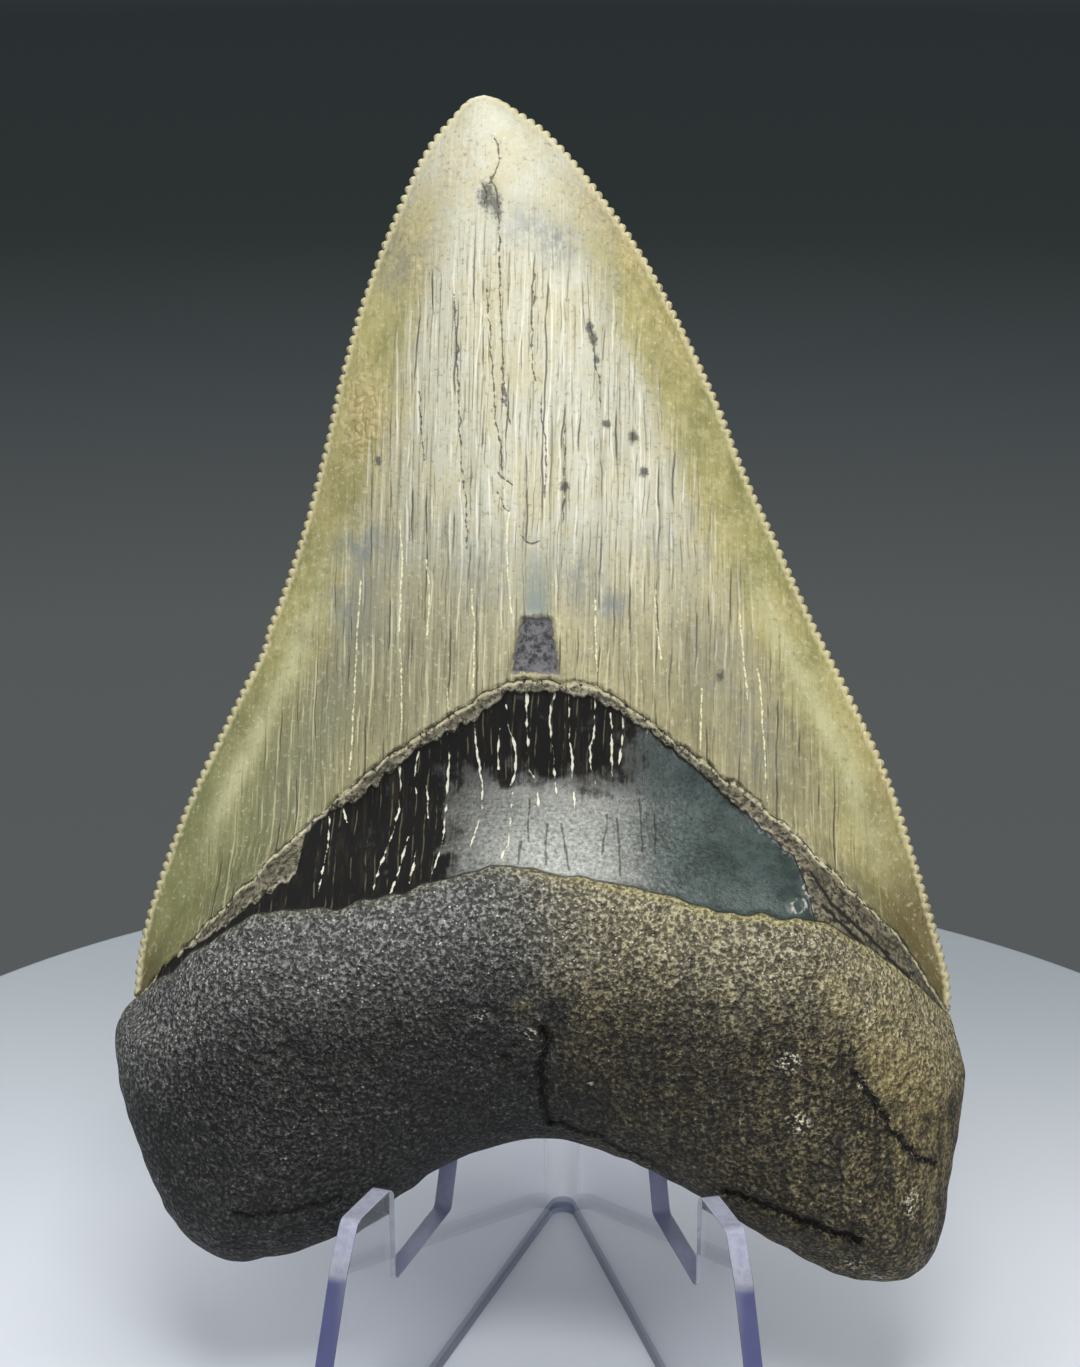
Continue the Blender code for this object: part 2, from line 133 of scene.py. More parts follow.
# Spacing of the mesh: front, back, and rings of points inside the edge.
FRONT_PITCH = 0.40
BACK_PITCH = 0.85
RING_INSETS = (0.22, 0.5, 0.85)
RING_SPACING = 0.35
LUMP_SIZE = 5.0
LUMP_HEIGHT = 0.45

# Deep cracks in the root: points, half width, depth.
ROOT_CRACKS = (
    (((-0.2, 22.8), (0.2, 20.9), (-0.6, 18.6), (-0.1, 16.8), (-0.5, 15.2), (0.5, 12.4)), 0.5, 1.1),
    (((0.5, 12.4), (2.2, 12.2), (3.9, 11.4), (5.9, 10.9), (7.6, 9.6),
      (10.4, 8.4), (13.2, 6.4)), 0.35, 0.7),
    (((18.8, 5.6), (21.0, 4.9), (23.4, 4.2), (25.5, 3.2), (28.7, 2.2), (32.6, 0.9)), 0.7, 1.3),
    (((31.6, 18.6), (33.0, 16.4), (34.8, 13.9), (36.0, 12.0), (38.2, 9.8), (40.4, 8.4)), 0.35, 0.5),
    (((-32.1, 2.6), (-28.4, 2.5), (-25.0, 3.1), (-21.3, 4.0)), 0.35, 0.5),
)
# Pits: middle, radius, depth.
ROOT_PITS = (((-4.3, 19.6), 0.9, 0.6), ((-2.6, 17.4), 0.8, 0.5), ((-3.2, 21.0), 0.6, 0.4),
             ((-8.5, 15.0), 0.6, 0.3), ((12.0, 20.0), 0.7, 0.3), ((25.2, 18.0), 0.6, 0.3))

# Dark hairline cracks in the crown.
CROWN_CRACKS = (
    ((-7.9, 116.5), (-7.4, 115.2), (-7.2, 114.1), (-7.8, 112.5), (-8.2, 111.5)),
    ((-9.0, 111.5), (-8.5, 110.4), (-8.7, 109.2)),
    ((-8.1, 112.2), (-7.5, 110.7), (-7.2, 108.8)),
    ((-7.2, 108.3), (-7.0, 105.7), (-6.8, 99.4), (-6.4, 94.1), (-6.2, 87.8)),
    ((-8.2, 99.9), (-7.8, 95.1), (-7.2, 89.6), (-7.0, 86.2), (-6.3, 82.7), (-6.1, 80.4)),
    ((-6.0, 89.9), (-5.8, 87.3), (-5.4, 85.3)),
    ((-15.2, 88.9), (-14.9, 84.0), (-14.7, 81.5)),
    ((-11.7, 99.3), (-11.3, 94.0), (-10.8, 85.5), (-10.5, 81.2), (-9.9, 77.5), (-9.8, 72.0)),
    ((-3.3, 102.0), (-3.2, 98.4), (-3.3, 94.1), (-2.9, 90.1)),
    ((-2.1, 87.6), (-1.6, 82.8), (-1.5, 77.6)),
    ((0.4, 85.7), (0.5, 79.1), (0.4, 75.0)),
    ((2.8, 96.3), (3.3, 94.7), (3.4, 93.0), (3.9, 90.5), (4.3, 87.9)),
    ((-6.6, 80.1), (-5.8, 79.4), (-5.0, 79.0)),
    ((-6.6, 78.1), (-5.9, 76.7), (-5.2, 76.1)),
    ((-4.0, 73.5), (-3.5, 73.0), (-2.9, 72.7), (-2.0, 73.0)),
)
# Pale mineral lines in the crown.
CROWN_VEINS = (
    ((-5.2, 76.1), (-5.5, 73.8), (-5.3, 69.8), (-4.8, 65.2)),
    ((-16.8, 63.2), (-16.8, 66.6), (-16.7, 70.8), (-17.1, 75.0)),
    ((-21.8, 48.4), (-21.6, 54.0), (-21.5, 62.3), (-21.2, 68.6)),
    ((-13.8, 62.4), (-13.6, 66.6), (-14.0, 70.8)),
    ((-8.7, 57.2), (-8.7, 62.5), (-9.1, 67.7)),
    ((22.5, 45.8), (22.2, 50.4), (21.8, 56.7), (21.3, 59.8)),
    ((20.3, 56.6), (19.9, 60.8), (19.3, 66.1)),
    ((15.3, 51.3), (15.4, 55.5), (15.5, 57.6)),
    ((-16.3, 52.3), (-16.4, 57.1), (-16.6, 61.3)),
    ((-11.3, 54.5), (-11.4, 57.2)),
    ((4.4, 59.3), (4.2, 62.7), (4.0, 66.9)),
    ((11.0, 60.7), (10.5, 64.9), (10.4, 68.0)),
)
# Cream crack fills in the dark band.
BAND_CRACKS = (
    ((-24.0, 43.4), (-23.8, 40.0), (-24.2, 35.5)),
    ((-22.4, 44.2), (-22.1, 42.8)),
    ((-16.5, 48.9), (-16.3, 46.0), (-16.8, 42.1), (-17.9, 38.4), (-18.4, 35.6)),
    ((-14.4, 50.6), (-14.8, 47.5), (-14.6, 46.1)),
    ((-15.1, 41.6), (-15.6, 38.7), (-16.4, 35.9)),
    ((-13.5, 46.9), (-13.1, 43.6)),
    ((-14.0, 40.2), (-14.5, 37.1)),
    ((-11.3, 52.6), (-11.2, 48.9), (-11.2, 45.6), (-11.4, 41.4), (-12.2, 38.0)),
    ((-8.6, 53.5), (-7.9, 49.0), (-7.4, 45.4), (-8.0, 42.3), (-8.6, 39.7)),
    ((-5.2, 55.5), (-4.8, 53.0), (-4.3, 51.6), (-4.0, 48.8), (-4.5, 47.1)),
    ((-4.3, 46.3), (-4.4, 42.0), (-5.0, 39.8)),
    ((-5.9, 53.0), (-5.9, 48.8)),
    ((-3.1, 57.2), (-2.9, 52.8), (-2.7, 49.1), (-1.8, 47.4), (-1.5, 45.2)),
    ((0.0, 57.3), (-0.6, 54.2), (-0.1, 50.5), (0.2, 47.2), (0.6, 45.3)),
    ((1.4, 56.7), (1.5, 53.4), (1.9, 50.0), (2.0, 47.2), (2.4, 43.8)),
    ((4.2, 56.8), (4.1, 53.4), (3.8, 50.4), (4.4, 47.2)),
    ((5.9, 54.8), (6.0, 51.8), (6.2, 48.1)),
    ((7.2, 54.6), (7.0, 50.7), (6.8, 49.3)),
    ((9.7, 53.2), (9.7, 51.8)),
)
# Dark open seams in the bare part of the band and in the strip beside it.
BAND_SEAMS = (
    ((-0.5, 43.2), (-0.4, 39.3)),
    ((1.0, 43.3), (2.0, 38.8)),
    ((5.7, 44.2), (5.4, 40.3)),
    ((6.8, 43.9), (7.3, 38.3)),
    ((10.7, 44.3), (10.9, 40.4)),
    ((-3.1, 41.5), (-3.3, 39.3)),
    ((-2.4, 45.7), (-2.3, 41.5)),
    ((9.1, 45.9), (9.5, 40.7)),
    ((27.0, 38.6), (29.6, 35.2), (33.4, 31.8), (37.8, 27.4)),
    ((28.2, 35.4), (31.6, 32.2), (35.2, 28.8), (39.6, 25.0)),
    ((30.4, 32.4), (34.6, 28.8)),
)
# Barnacle rings: middle and radius.
BARNACLES = (((27.1, 37.0), 0.95), ((25.7, 35.2), 0.75))

# Camera: where it stands beside the fold of the easel, and how it looks.
CAMERA_ACROSS = 12.7
CAMERA_AWAY = 329.5
CAMERA_HEIGHT = 188.0
CAMERA_TILT = math.radians(20.0)
CAMERA_TURN = math.radians(2.7)
LENS_PIXELS = 3072.0
IMAGE_HEIGHT = 1367.0
SENSOR = 36.0

# How far lines shake sideways: name, paths, size of the shake, reach.
CRACK_GROUPS = (
    ("root_crack", tuple(crack[0] for crack in ROOT_CRACKS), 1.0, 0.6),
    ("crown_crack", CROWN_CRACKS, 1.2, 0.26),
    ("vein", CROWN_VEINS, 2.4, 0.16),
    ("band_crack", BAND_CRACKS, 1.5, 0.18),
    ("seam", BAND_SEAMS, 1.5, 0.2),
)
# Stands for "no line near" in the distances that the material reads.
FAR = 9.0

# Soft spots, each (across, up, reach across, reach up, strength). Most are stains; the greyish
# spots low on the crown's left and the dark spots on the root are painted shade, and the spots at
# the crown's lower corners make them darker brown.
STAINS = {
    "cool_and_shade": ((-14.0, 60.0, 7.0, 14.0, 0.75), (-23.0, 56.0, 5.0, 8.0, 0.6)),
    "tan": (
        (-21.5, 86.0, 2.6, 5.5, 0.85), (12.5, 101.0, 3.0, 7.0, 0.8), (8.0, 106.0, 3.0, 4.0, 0.6),
        (3.0, 111.0, 3.0, 4.0, 0.5), (-16.5, 104.0, 3.0, 5.0, 0.45), (-12.0, 113.0, 3.0, 4.0, 0.3),
        (33.0, 53.5, 1.0, 2.2, 0.8), (35.3, 48.5, 0.9, 1.6, 0.8), (25.0, 67.0, 1.5, 2.0, 0.5),
        (40.0, 34.0, 1.2, 3.0, 0.7)),
    "corner": (
        (42.0, 26.0, 3.0, 5.5, 0.9), (-44.5, 25.5, 2.5, 4.5, 0.9), (38.0, 33.0, 5.0, 7.0, 1.0),
        (35.0, 46.0, 2.6, 4.5, 0.3), (-25.5, 77.5, 2.6, 4.5, 0.3)),
    "blue": (
        (-4.2, 107.0, 2.6, 2.6, 0.6), (-0.6, 105.0, 2.2, 2.4, 0.85), (-18.4, 102.0, 2.2, 3.4, 0.6),
        (-21.0, 72.0, 3.4, 2.2, 0.9), (-22.0, 66.0, 3.0, 4.0, 0.6), (-8.0, 70.0, 4.0, 4.0, 0.35),
        (6.0, 66.3, 1.6, 1.3, 1.0), (2.5, 69.5, 2.6, 3.2, 0.6), (16.0, 60.0, 4.0, 5.0, 0.35),
        (21.0, 52.0, 3.0, 6.0, 0.45), (10.5, 73.0, 2.5, 3.0, 0.35)),
    "dots": (
        (2.8, 96.1, 0.5, 0.9, 0.9), (3.3, 94.7, 0.45, 0.8, 1.0), (3.7, 92.6, 0.4, 0.7, 0.9),
        (4.9, 85.6, 0.6, 0.5, 1.0), (7.7, 84.3, 0.6, 0.8, 1.0), (8.9, 80.6, 0.6, 0.7, 1.0),
        (-19.7, 81.5, 0.4, 0.6, 1.0), (0.5, 78.8, 0.6, 0.6, 1.0), (17.4, 59.0, 0.5, 0.8, 0.9),
        (-8.6, 110.2, 1.2, 2.0, 0.75), (-7.2, 108.6, 0.8, 2.2, 0.6)),
    "sandy": (
        (38.0, 20.0, 6.5, 9.0, 1.0), (33.0, 27.0, 6.0, 3.5, 0.75), (15.0, 34.0, 8.0, 3.0, 0.45),
        (41.0, 5.0, 4.0, 7.0, 0.35), (-2.5, 25.0, 2.2, 1.5, 0.4)),
    # Painted shade: darker spots on the root where its face turns away from the light.
    "painted_root_shade": (
        (16.0, 20.0, 9.0, 7.0, 0.75), (5.0, 15.0, 10.0, 5.0, 0.6), (-4.0, 18.0, 4.0, 4.0, 0.8),
        (22.0, 4.0, 12.0, 5.0, 0.35), (-12.0, 14.0, 12.0, 7.0, 0.35),
        (-20.0, 22.0, 9.0, 5.0, 0.35)),
    "specks": (
        (24.8, 19.8, 1.5, 1.3, 1.0), (25.9, 13.5, 1.6, 1.3, 1.0), (4.7, 16.9, 0.6, 0.5, 1.0),
        (33.0, 24.5, 0.7, 2.6, 0.9), (38.0, 4.7, 1.3, 1.8, 0.9), (32.0, -2.1, 1.6, 0.7, 0.9),
        (35.3, -3.9, 1.6, 0.6, 0.9), (-1.6, 22.1, 0.8, 0.7, 1.0), (-6.5, 24.0, 0.9, 0.6, 0.9),
        (32.4, 17.4, 0.6, 0.6, 0.9), (22.6, 21.5, 0.5, 0.5, 0.8)),
}
LABIAL_BLUE = ((-8.0, 70.0, 8.0, 12.0, 0.8), (10.0, 90.0, 6.0, 9.0, 0.6))

# Fossil apatite is about 1.6 and cast acrylic 1.49.
TOOTH_IOR = 1.6
ACRYLIC_IOR = 1.49
ACRYLIC_ABSORPTION = 24.0
# Grains of the root in mm, and how many painted glints to the millimetre.
GRAIN_SIZE = 0.6
GLINTS_PER_MM = 2.4
# Sets of upright lines, in mm: spacing, half width, length of a run; then a seed.
FINE_LINES = (0.75, 0.045, 5.0, 3.0)
DEEP_LINES = (2.0, 0.07, 9.0, 8.0)
CHALK_LINES = (1.5, 0.08, 7.0, 14.0)
CRUST_LINES = (1.3, 0.04, 2.2, 21.0)

# Acrylic, in metres: where the pale upper edges begin over the floor and
# beside the fold, the grey stripe at the foot, and the ends of the bend.
PALE_ABOVE = (0.0246, 0.0256)
PALE_BESIDE = (0.021, 0.019)
FOOT_STRIPE = (0.0017, 0.0013)
BEND_REACH = (0.0032, 0.0024)
# Patterns per metre: saw marks about 0.7 mm apart, smears about 11 mm across.
SAW_MARKS = 1500.0
SMEARS = 90.0

# Plain studio: floor, shades from low to high, and lights.
FLOOR_RADIUS = 0.106
FLOOR_THICK = 0.008
FLOOR_MIDDLE = (-0.002, -0.006)
# The sheet stands on its high spots, so air stays under its foot.
FLOOR_GAP = 0.0001
STUDIO_SHADES = ((0.30, "#565a5b"), (0.34, "#555858"), (0.372, "#43484a"), (0.40, "#2d3333"),
                 (0.435, "#2a2f31"), (0.52, "#7e8286"))
# Name, place, target, size, power, tint.
STUDIO_LIGHTS = (
    ("overhead softbox", (0.0, -0.06, 0.48), (0.0, -0.05, 0.04), (0.26, 0.16), 0.95, "#fffdf8"),
    ("front softbox", (0.03, -0.25, 0.44), (0.0, -0.03, 0.04), (0.16, 0.10), 0.75, "#fdfeff"),
    ("camera softbox", (-0.01, -0.40, 0.22), (0.0, 0.0, 0.03), (0.24, 0.16), 0.70, "#fdfeff"),
    ("left softbox", (-0.46, -0.16, 0.30), (0.0, 0.0, 0.06), (0.25, 0.30), 0.35, "#f4f8ff"),
    ("right softbox", (0.46, -0.16, 0.30), (0.0, 0.0, 0.06), (0.25, 0.30), 0.5, "#fffaf2"),
    ("rear softbox", (-0.12, 0.50, 0.32), (0.0, 0.0, 0.05), (0.35, 0.25), 0.45, "#f4f8ff"),
)

stand_low, stand_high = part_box("stand")
FOLD_X = 0.5 * (stand_low.x + stand_high.x)
FOLD_Y = stand_high.y - 0.5 * SHEET_THICK * MM


def wing_start():
    """Length along the sheet that the fold adds before a straight wing."""
    arc = FOLD_RADIUS * (0.5 * math.pi - WING_ANGLE)
    return arc - FOLD_RADIUS * (1.0 - math.sin(WING_ANGLE)) / math.cos(WING_ANGLE)


def place(spots):
    """Points on the sheet of paper (across, up, fore) to the room, in metres."""
    across, up, fore = np.asarray(spots, dtype=float).T
    back = -(SEAT_BACK - wing_start()) * math.cos(WING_ANGLE)
    y = back + up * math.sin(LEAN) - fore * math.cos(LEAN)
    z = SEAT_HEIGHT + up * math.cos(LEAN) + fore * math.sin(LEAN)
    return np.column_stack([across * MM + FOLD_X, y * MM + FOLD_Y, z * MM])


def smoothstep(low, high, value):
    """0 at low, 1 at high, with a soft start and end."""
    part = np.clip((value - low) / (high - low), 0.0, 1.0)
    return part * part * (3.0 - 2.0 * part)


def smooth_max(first, second, width):
    """The higher of two reliefs, blended where they meet."""
    blend = np.clip(0.5 + 0.5 * (first - second) / width, 0.0, 1.0)
    return second + (first - second) * blend + width * blend * (1.0 - blend)


def resample(path, step):
    """Points along a path, about one step apart."""
    length = np.concatenate([[0.0], np.cumsum(np.hypot(*np.diff(path, axis=0).T))])
    count = max(2, int(round(length[-1] / step)) + 1)
    marks = np.linspace(0.0, length[-1], count)
    return np.column_stack([np.interp(marks, length, path[:, 0]),
                            np.interp(marks, length, path[:, 1])])


def through(points, step):
    """Round curve through the points, resampled to about one step."""
    knots = np.array(points, dtype=float)
    knots = np.vstack([2.0 * knots[0] - knots[1], knots, 2.0 * knots[-1] - knots[-2]])
    dense = []
    for index in range(1, len(knots) - 2):
        before, start, end, after = knots[index - 1:index + 3]
        for part in np.linspace(0.0, 1.0, 24, endpoint=False):
            dense.append(0.5 * (2.0 * start + (end - before) * part
                                + (2 * before - 5 * start + 4 * end - after) * part ** 2
                                + (3 * start - before - 3 * end + after) * part ** 3))
    dense.append(knots[-2])
    return resample(np.array(dense), step)


def outward(path):
    """Unit normals on the left hand side of a path."""
    run = np.gradient(path, axis=0)
    run /= np.hypot(run[:, 0], run[:, 1])[:, None]
    return np.column_stack([-run[:, 1], run[:, 0]])


def crown_edges():
    """Both cutting edges, from the corner up to the tip."""
    left = through(CROWN_LEFT + NOTCH + CROWN_LEFT_UPPER + (TIP,), 0.5)
    right = through((TIP,) + CROWN_RIGHT, 0.5)[::-1]
    return left, right


def serrate(path, seed):
    """Rounded saw teeth along an edge, each a little unlike the next."""
    length = np.hypot(*np.diff(path, axis=0).T).sum()
    teeth = int(round(length / SERRATION_PITCH))
    edge = resample(path, length / (teeth * SERRATION_POINTS))
    mark = np.arange(len(edge)) / SERRATION_POINTS
    uneven = np.random.default_rng(seed)
    height = uneven.uniform(0.72, 1.12, teeth + 2)[mark.astype(int)]
    bump = np.abs(np.sin(math.pi * mark)) ** 0.75 - 0.5
    fade = smoothstep(0.0, 7.0, np.hypot(*(edge - np.array(TIP)).T))
    return edge + outward(edge) * (bump * SERRATION_HEIGHT * height * fade)[:, None]


def tooth_outline(left, right):
    """Closed outline, clockwise from the left corner of the crown."""
    rise = serrate(left, 3)
    fall = serrate(right[::-1], 8)
    root = through((CROWN_RIGHT[-1],) + ROOT + (CROWN_LEFT[0],), 0.45)
    grain = ripple(root, 2.4, 3.0)
    grain[:8] *= np.linspace(0.0, 1.0, 8)
    grain[-8:] *= np.linspace(1.0, 0.0, 8)
    root = root + outward(root) * (0.28 * grain)[:, None]
    return np.vstack([rise, fall[1:], root[1:-1]])


def distance_to(outline, points, closed=True):
    """Distance of each point to an outline or to a path."""
    start = outline if closed else outline[:-1]
    run = (np.roll(outline, -1, axis=0) if closed else outline[1:])[:len(start)] - start
    square = (run ** 2).sum(axis=1)
    best = np.full(len(points), 1e9)
    for head, step, size in zip(start, run, square):
        along = np.clip(((points - head) @ step) / size, 0.0, 1.0)
        gap_x = points[:, 0] - head[0] - along * step[0]
        gap_y = points[:, 1] - head[1] - along * step[1]
        np.minimum(best, gap_x * gap_x + gap_y * gap_y, out=best)
    return np.sqrt(best)


def is_inside(outline, points):
    """Even-odd test of each point against a closed outline."""
    inside = np.zeros(len(points), dtype=bool)
    across, up = points.T
    for (ax, ay), (bx, by) in zip(outline, np.roll(outline, -1, axis=0)):
        if ay == by:
            continue
        spans = (ay > up) != (by > up)
        inside ^= spans & (across < ax + (up - ay) * (bx - ax) / (by - ay))
    return inside


def line_height(line, across):
    """Height of a line on the sheet over each place across."""
    knots = np.array(line)
    return np.interp(across, knots[:, 0], knots[:, 1])


def ripple(points, size, layer):
    """Smooth noise over the sheet of paper, about -1 to 1."""
    return np.array([noise.noise(Vector((x / size, y / size, layer))) for x, y in points])


def wander(path, size, reach, layer):
    """A path shaken sideways, as a crack runs."""
    return path + outward(path) * (reach * ripple(path, size, layer))[:, None]


def crack_paths():
    """Every drawn line, shaken a little: name to a list of paths."""
    paths = {}
    layer = 5.0
    for name, lines, size, reach in CRACK_GROUPS:
        paths[name] = []
        for line in lines:
            paths[name].append(wander(through(line, 0.3), size, reach, layer))
            layer += 1.0
    circle = np.linspace(0.0, 2.0 * math.pi, 19)
    paths["ring"] = []
    for middle, radius in BARNACLES:
        spokes = radius * np.column_stack([np.cos(circle), 0.8 * np.sin(circle)])
        uneven = 1.0 + 0.5 * ripple(spokes + middle, 0.9, 3.0)
        paths["ring"].append(np.array(middle) + spokes * uneven[:, None])
    return paths


# Borders on the lingual face: the line, and its wobbles as (reach, size, layer).
BORDERS = {
    "over_enamel": (through(ENAMEL_LINE, 0.4), ((0.5, 1.7, 41.0), (0.3, 0.6, 42.0))),
    "over_strip": (STRIP_LINE, ((0.75, 0.8, 44.0),)),
    "over_root": (through(ROOT_LINE, 0.4), ((0.5, 2.3, 47.0),)),
}


def border(name, across):
    """Height of one border over each place across, with its ragged edge."""
    line, wobbles = BORDERS[name]
    height = line_height(line, across)
    flat = np.column_stack([across, np.zeros(len(across))])
    for reach, size, layer in wobbles:
        height = height + reach * ripple(flat, size, layer)
    return height


def groove(away, half_width, depth):
    """Depth of a V-shaped crack at a distance from its path."""
    return depth * np.clip(1.0 - away / half_width, 0.0, 1.0)


def survey(points, outline, left, right, paths):
    """Everything that the relief and the colours need to know at each point."""
    across, up = points.T
    lower = np.interp(up, left[:, 1], left[:, 0])
    upper = np.interp(up, right[:, 1], right[:, 0])
    middle = 0.5 * (lower + upper)
    half = np.maximum(0.5 * (upper - lower), 0.6)
    seen = {
        "across": across,
        "up": up,
        "rim": distance_to(outline, points),
        "half": half,
        "side": np.clip((across - middle) / half, -1.0, 1.0),
    }
    for name in BORDERS:
        seen[name] = up - border(name, across)
    for name, group in paths.items():
        away = np.full(len(points), FAR)
        for path in group:
            low = path.min(axis=0) - 2.0
            high = path.max(axis=0) + 2.0
            near = np.all((points > low) & (points < high), axis=1)
            if near.any():
                away[near] = np.minimum(away[near], distance_to(path, points[near], False))
        seen[name] = away
    return seen


def edge_fore(up):
    """How far in front of the back rest the outline's edge lies."""
    in_root = 1.0 - smoothstep(12.0, 30.0, up)
    return CROWN_EDGE_FORE + (ROOT_EDGE_FORE - CROWN_EDGE_FORE) * in_root


def trough_share(across, up):
    """Shallow trough above the scar, 0 to 1."""
    aside = np.abs(across - TROUGH_MIDDLE)
    return (np.exp(-(aside / TROUGH_HALF_WIDTH) ** 4) * smoothstep(64.0, 66.0, up)
            * smoothstep(76.0, 66.0, up + 2.5 * aside))


def front_relief(points, seen, paths):
    """Height of the lingual face over the back rest."""
    across, up, rim = seen["across"], seen["up"], seen["rim"]
    edge = edge_fore(up)
    crown = CROWN_FULLNESS * seen["half"] / (1.0 + seen["half"] / CROWN_FLATTENING)
    crown *= 1.0 - np.abs(seen["side"]) ** CROWN_ARCH_POWER
    crown *= smoothstep(6.0, 28.0, up)
    full = ROOT_THICK - ROOT_THICK_DROP * (across / ROOT_HALF_WIDTH) ** 2 - edge
    turn = 1.0 - np.minimum(rim / ROOT_ROUND, 1.0)
    swell = full * np.sqrt(1.0 - turn ** 2)
    over_root = up - line_height(BORDERS["over_root"][0], across)
    ramp = ROOT_RAMP * np.maximum(over_root + ROOT_RAMP_BELOW, 0.0) ** 2
    bulge = np.maximum(swell - ramp, 0.0)
    front = smooth_max(bulge, crown, np.clip(0.5 * bulge, 0.05, 3.0))

    on_root = 1.0 - smoothstep(-0.3, 0.2, seen["over_root"])
    on_band = (1.0 - smoothstep(-0.15, 0.15, seen["over_enamel"])) * (1.0 - on_root)
    on_strip = smoothstep(-0.12, 0.12, seen["over_strip"]) * on_band
    inland = smoothstep(0.4, 2.5, rim)
    lumpy = LUMP_HEIGHT * (ripple(points, LUMP_SIZE, 0.0) + 0.5 * ripple(points, 2.1, 7.0))
    grain = 0.10 * ripple(points, 0.9, 12.0) + 0.07 * ripple(points, 0.5, 15.0)
    front += inland * on_root * (lumpy + grain + ROOT_STEP)
    crumbly = 0.22 * ripple(points, 0.8, 25.0) + 0.15 * ripple(points, 0.45, 27.0)
    front -= inland * on_band * (ENAMEL_STEP - on_strip * (0.45 + crumbly))
    front += inland * (1.0 - on_root) * 0.05 * ripple(points * (1.0, 0.08), 1.1, 18.0)
    front -= is_inside(SCAR, points) * (SCAR_DEPTH + 0.12 * ripple(points, 0.7, 22.0))
    front -= TROUGH_DEPTH * trough_share(across, up)
    front += 0.35 * np.clip(1.0 - seen["ring"] / 0.35, 0.0, 1.0)
    for path, (_, half_width, depth) in zip(paths["root_crack"], ROOT_CRACKS):
        front -= groove(distance_to(path, points, False), half_width, depth) * inland
    for middle, radius, depth in ROOT_PITS:
        away = np.hypot(across - middle[0], up - middle[1])
        front -= depth * (1.0 - smoothstep(0.3 * radius, radius, away))
    front -= groove(seen["crown_crack"], 0.3, 0.12)
    return edge, edge + front + 0.5 * np.minimum(rim, 0.7)


def back_relief(points, seen):
    """Height of the labial face over the back rest."""
    rim, up = seen["rim"], seen["up"]
    edge = edge_fore(up)
    crown_back = (1.0 - np.minimum(rim / CROWN_BACK_ROUND, 1.0)) ** 2
    turn = 1.0 - np.minimum(rim / ROOT_BACK_ROUND, 1.0)
    blend = 1.0 - smoothstep(20.0, 32.0, up)
    fall = crown_back + (1.0 - np.sqrt(1.0 - turn ** 2) - crown_back) * blend
    inland = smoothstep(0.4, 2.5, rim)
    lumpy = ripple(points, LUMP_SIZE, 30.0) + 0.5 * ripple(points, 2.1, 37.0)
    dimple = np.abs(LUMP_HEIGHT * lumpy)
    on_root = 1.0 - smoothstep(-0.3, 0.3, up - line_height(LABIAL_LINE, seen["across"]))
    back = BACK_GAP + (edge - BACK_GAP) * fall + (dimple * blend + 0.35 * on_root) * inland
    return edge, np.minimum(back, edge) - 0.5 * np.minimum(rim, 0.7)


def lattice(outline, smooth, pitch):
    """Even scatter of points inside the outline, closer near the edge."""
    kept = []
    for inset in RING_INSETS:
        ring = resample(np.vstack([smooth, smooth[:1]]), max(RING_SPACING, inset))[:-1]
        ring = ring - outward(ring) * inset
        ring = ring[is_inside(outline, ring)]
        kept.append(ring[distance_to(smooth, ring) > 0.9 * inset])
    low, high = smooth.min(axis=0), smooth.max(axis=0)
    rows = []
    for index, height in enumerate(np.arange(low[1], high[1], pitch * 0.866)):
        row = np.arange(low[0] + 0.5 * pitch * (index % 2), high[0], pitch)
        rows.append(np.column_stack([row, np.full(len(row), height)]))
    field = np.vstack(rows)
    field = field[is_inside(outline, field)]
    kept.append(field[distance_to(smooth, field) > 1.1])
    return np.vstack(kept)


def triangulate(outline, points, lines):
    """Triangles inside the outline that keep every line as an edge."""
    verts = [tuple(point) for point in outline]
    edges = [(i, (i + 1) % len(outline)) for i in range(len(outline))]
    for line in lines:
        first = len(verts)
        verts += [tuple(point) for point in line]
        edges += [(first + i, first + i + 1) for i in range(len(line) - 1)]
    verts += [tuple(point) for point in points]
    while True:
        spots, _, faces, *_ = delaunay_2d_cdt(
            [Vector(point) for point in verts], edges, [], 0, 1e-6, False)
        flat = np.array([tuple(point) for point in spots])
        corners = np.array(faces)
        corners = corners[is_inside(outline, flat[corners].mean(axis=1))]
        sides = np.vstack([corners[:, [0, 1]], corners[:, [1, 2]], corners[:, [2, 0]]])
        sides.sort(axis=1)
        sides, times = np.unique(sides, axis=0, return_counts=True)
        rim = np.zeros(len(flat), dtype=bool)
        rim[sides[times == 1].ravel()] = True
        bridges = sides[(times > 1) & rim[sides[:, 0]] & rim[sides[:, 1]]]
        if not len(bridges):
            return flat, corners, rim
        verts += [tuple(point) for point in 0.5 * (flat[bridges[:, 0]] + flat[bridges[:, 1]])]


def keep_clear(points, lines, least):
    """Drop the points that crowd a line."""
    cells = {}
    for x, y in np.vstack(lines):
        cells.setdefault((int(x // least), int(y // least)), []).append((x, y))
    kept = []
    for x, y in points:
        column, row = int(x // least), int(y // least)
        near = [spot for i in (-1, 0, 1) for j in (-1, 0, 1)
                for spot in cells.get((column + i, row + j), ())]
        if all((a - x) ** 2 + (b - y) ** 2 >= least * least for a, b in near):
            kept.append((x, y))
    return np.array(kept)


def spots_mask(across, up, spots):
    """Soft spots of stain and painted shade added up, 0 to 1."""
    total = np.zeros(len(across))
    for x, y, reach_x, reach_y, strength in spots:
        total += strength * np.exp(-((across - x) / reach_x) ** 2 - ((up - y) / reach_y) ** 2)
    return np.clip(total, 0.0, 1.0)


